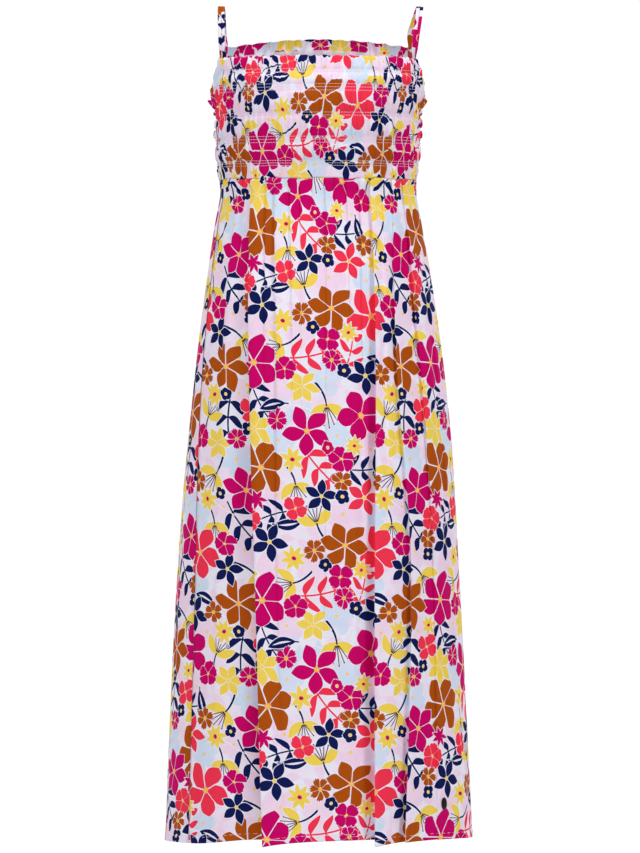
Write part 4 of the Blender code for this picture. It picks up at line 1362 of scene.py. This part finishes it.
def make_panel(scene, node, points, uv, stitching, rows, pattern, down=None):
    """A panel of printed cloth on a grid, with stitches along some of its rows."""
    back = node.endswith("back")
    order = (slice(None), slice(None, None, -1 if back else 1))
    if back:
        uv = uv * np.array([-1.0, 1.0]) + np.array(BACK_PRINT)
    panel = sheet_object(
        f"{node}_cloth", points[order], uv[order], scene.dress_cloth.thickness,
        cloth_materials(scene), None if down is None else down[order],
    )
    finish_piece(panel, "printed_cloth", node)
    normals = surface_normals(points, -1.0 if back else 1.0)
    stitches = strip_stitches(
        f"{node}_{stitching}", points[rows], normals[rows], *pattern, thread_material(scene)
    )
    finish_piece(stitches, "printed_cloth")
    return panel, stitches


class DRESS_OT_bodice(bpy.types.Operator):
    """Make the shirred front and back with their frilled edge and elastic threads"""

    bl_idname = "dress.bodice"
    bl_label = "Make Bodice"
    bl_options = {"REGISTER", "UNDO"}

    def execute(self, context):
        scene = context.scene
        for side in ("front", "back"):
            points, uv, down, threads, width = bodice_grid(side, scene.dress_cloth)
            panel, stitches = make_panel(
                scene, f"bodice_{side}", points, uv, "elastic", threads, (4, 3), down
            )
            middle = points[:, points.shape[1] // 2]
            length = float(np.linalg.norm(np.diff(middle, axis=0), axis=1).sum())
            width * length * BODICE_CUT_SHARE
        return {"FINISHED"}


class DRESS_OT_skirt(bpy.types.Operator):
    """Make the gathered skirt's front and back with their folds, creases and hem stitches"""

    bl_idname = "dress.skirt"
    bl_label = "Make Skirt"
    bl_options = {"REGISTER", "UNDO"}

    def execute(self, context):
        scene = context.scene
        for side in ("front", "back"):
            points, uv, hem_row, width, length = skirt_grid(side, scene.dress_cloth)
            panel, stitches = make_panel(
                scene, f"skirt_{side}", points, uv + np.array(SKIRT_PRINT), "hem_stitch",
                [hem_row], (2, 1),
            )
            area = (width + SKIRT_CUT_WAIST[side]) / 2 * length
        return {"FINISHED"}


def sewn_end(form, side, hand):
    """A strap's sewn end inside the header, from its end up: rows of point, face and bow."""
    rows = []
    for lift in (-STRAP_SEWN, -STRAP_SEWN / 2, STRAP_FREE):
        share = form.share_of(-0.10, hand * STRAP_ACROSS[side])
        probe = form.point(np.array(-0.10), np.array(share))
        z = float(top_edge(probe[0], probe[1])) + lift
        share = form.share_of(z, hand * STRAP_ACROSS[side])
        point, out = form.frame(np.array(z), np.array(share))
        reach = STRAP_WIDTH / 2 / float(form.length(z))
        ends = [form.point(np.array(z), np.array(share + side_reach)) for side_reach in (-reach, reach)]
        bow = float((point - (ends[0] + ends[1]) / 2) @ out)
        inside = point - out * (1.5 * CLOTH + STRAP_CLEAR)
        face = math.degrees(math.atan2(-out[1], abs(out[0])))
        rows.append((Vector((*inside, z)), face if side == "front" else 180 + face, bow))
    return rows


def strap_grid(hand, forms):
    """Points and print places round and along a flat strip that is folded to a tube."""
    rows = sewn_end(forms["front"], "front", hand)
    base = rows[-1][0]
    lean_share = 1.0 if hand > 0 else LEFT_LEAN_SHARE
    for row in STRAP_ARCH:
        place = Vector((base.x + hand * lean_share * row.lean, row.depth, row.z))
        rows.append((place + Vector((0.0, 0.0, CLOTH / 2)), row.face, 0.0))
    rows += reversed(sewn_end(forms["back"], "back", hand))
    marks = np.array([[*point, face, bow] for point, face, bow in rows])
    gone = np.concatenate([[0.0], np.cumsum(np.linalg.norm(np.diff(marks[:, :3], axis=0), axis=1))])
    fine = np.linspace(0, gone[-1], 120)
    slope = np.gradient(marks, gone, axis=0)
    k = np.clip(np.searchsorted(gone, fine, side="right") - 1, 0, len(gone) - 2)
    step = (gone[k + 1] - gone[k])[:, None]
    share = (fine - gone[k])[:, None] / step
    smooth = curve(marks[k], marks[k + 1] - marks[k], slope[k] * step, slope[k + 1] * step, share)
    run = np.gradient(smooth[:, :3], axis=0)
    points, uv = [], []
    turn = np.linspace(0, 2 * np.pi, STRAP_ROUND + 1) + np.pi / 2
    flat_x = np.sign(np.cos(turn)) * np.abs(np.cos(turn)) ** 0.55
    flat_y = np.sign(np.sin(turn)) * np.abs(np.sin(turn)) ** 0.8
    round_length = np.concatenate([[0.0], np.cumsum(np.hypot(
        np.diff(flat_x) * STRAP_WIDTH / 2, np.diff(flat_y) * CLOTH / 2))])
    for row, along, far in zip(smooth, run, fine):
        direction = Vector(along).normalized()
        face = math.radians(row[3])
        width = Vector((hand * math.sin(face), math.cos(face), 0.0))
        width = (width - direction * width.dot(direction)).normalized()
        thick = width.cross(direction).normalized() * hand
        ring = []
        for across, up in zip(flat_x, flat_y):
            lift = up * CLOTH / 2 - row[4] * abs(across)
            ring.append(Vector(row[:3]) + width * (across * STRAP_WIDTH / 2) + thick * lift)
        points.append([tuple(p) for p in ring])
        uv.append([(length + 0.11 * (2 + hand), far) for length in round_length])
    return np.array(points), np.array(uv), round_length[-1], gone[-1]


class DRESS_OT_straps(bpy.types.Operator):
    """Make the two shoulder straps"""

    bl_idname = "dress.straps"
    bl_label = "Make Straps"
    bl_options = {"REGISTER", "UNDO"}

    def execute(self, context):
        scene = context.scene
        forms = {side: Form(side) for side in ("front", "back")}
        for name, hand in (("strap_left", -1), ("strap_right", 1)):
            points, uv, around, length = strap_grid(hand, forms)
            if hand < 0:
                points, uv = points[:, ::-1], uv[:, ::-1]
            strap = sheet_object(f"{name}_cloth", points, uv, STRAP_CLOTH, cloth_materials(scene))
            finish_piece(strap, "printed_cloth", name)
        return {"FINISHED"}


class DRESS_OT_badge(bpy.types.Operator):
    """Give the oval badge at the hem its glossy finish"""

    bl_idname = "dress.badge"
    bl_label = "Finish Badge"
    bl_options = {"REGISTER", "UNDO"}

    def execute(self, context):
        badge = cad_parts["hem_badge"]
        material = badge_material(context.scene)
        for slot in badge.material_slots:
            slot.material = material
        return {"FINISHED"}


class DRESS_OT_stage(bpy.types.Operator):
    """Make the pale floor, the soft lights and the camera"""

    bl_idname = "dress.stage"
    bl_label = "Make Stage"
    bl_options = {"REGISTER", "UNDO"}

    def execute(self, context):
        scene = context.scene
        settings = scene.dress_stage
        bpy.ops.object.select_all(action="DESELECT")
        bpy.ops.mesh.primitive_circle_add(
            vertices=96, radius=FLOOR_SIZE / 2, fill_type="NGON", location=(0, 0, FLOOR_Z)
        )
        floor = context.active_object
        floor.name = "floor"
        shade = [c * 0.985 for c in settings.floor]
        floor.data.materials.append(
            speckled_material("floor_paint", shade, settings.floor, 3.0, Roughness=0.9)[0]
        )
        for name, place, size, share in LAMPS:
            light = bpy.data.lights.new(name, "AREA")
            light.shape = "DISK"
            light.size = size
            light.energy = settings.key * share
            lamp = bpy.data.objects.new(name, light)
            lamp.location = place
            lamp.rotation_euler = (Vector(LAMP_AIM) - Vector(place)).to_track_quat("-Z", "Y").to_euler()
            scene.collection.objects.link(lamp)
        world = bpy.data.worlds.new("studio")
        world.use_nodes = True
        background = world.node_tree.nodes["Background"]
        background.inputs["Color"].default_value = (1.0, 1.0, 1.0, 1.0)
        g = Graph(world.node_tree)
        seen = g.node("LightPath", output="Is Camera Ray")
        g.feed(background.inputs["Strength"], seen.fit(BACKDROP - settings.surround, settings.surround))
        scene.world = world
        scene.view_settings.view_transform = "Standard"
        camera = bpy.data.cameras.new("camera")
        camera.sensor_width = SENSOR
        camera.lens = SENSOR * CAMERA_FAR / PHOTO_TALL
        camera.clip_end = 60.0
        stand = bpy.data.objects.new("camera", camera)
        stand.location = (CAMERA_X, -CAMERA_FAR, CAMERA_Z)
        stand.rotation_euler = (math.radians(90), 0.0, 0.0)
        scene.collection.objects.link(stand)
        scene.camera = stand
        return {"FINISHED"}


class DRESS_PT_sidebar(bpy.types.Panel):
    """Lists the dress's settings and the steps that make it"""

    bl_idname = "DRESS_PT_sidebar"
    bl_label = "Maxi Dress"
    bl_space_type = "VIEW_3D"
    bl_region_type = "UI"
    bl_category = "Dress"

    def draw(self, context):
        layout = self.layout
        for name in ("dress_cloth", "dress_colours", "dress_stage"):
            settings = getattr(context.scene, name)
            box = layout.box()
            for field in settings.bl_rna.properties:
                if field.identifier not in ("name", "rna_type"):
                    box.prop(settings, field.identifier)
        for operator in STEPS:
            layout.operator(operator.bl_idname)


STEPS = (DRESS_OT_straps, DRESS_OT_bodice, DRESS_OT_skirt, DRESS_OT_badge, DRESS_OT_stage)
SETTINGS = (DressCloth, DressColours, DressStage)


def register():
    for cls in (*SETTINGS, *STEPS, DRESS_PT_sidebar):
        bpy.utils.register_class(cls)
    bpy.types.Scene.dress_cloth = PointerProperty(type=DressCloth)
    bpy.types.Scene.dress_colours = PointerProperty(type=DressColours)
    bpy.types.Scene.dress_stage = PointerProperty(type=DressStage)


def unregister():
    del bpy.types.Scene.dress_stage
    del bpy.types.Scene.dress_colours
    del bpy.types.Scene.dress_cloth
    for cls in reversed((*SETTINGS, *STEPS, DRESS_PT_sidebar)):
        bpy.utils.unregister_class(cls)


def main():
    register()
    bpy.ops.dress.straps()
    bpy.ops.dress.bodice()
    bpy.ops.dress.skirt()
    bpy.ops.dress.badge()
    bpy.ops.dress.stage()


if __name__ == "__main__":
    main()
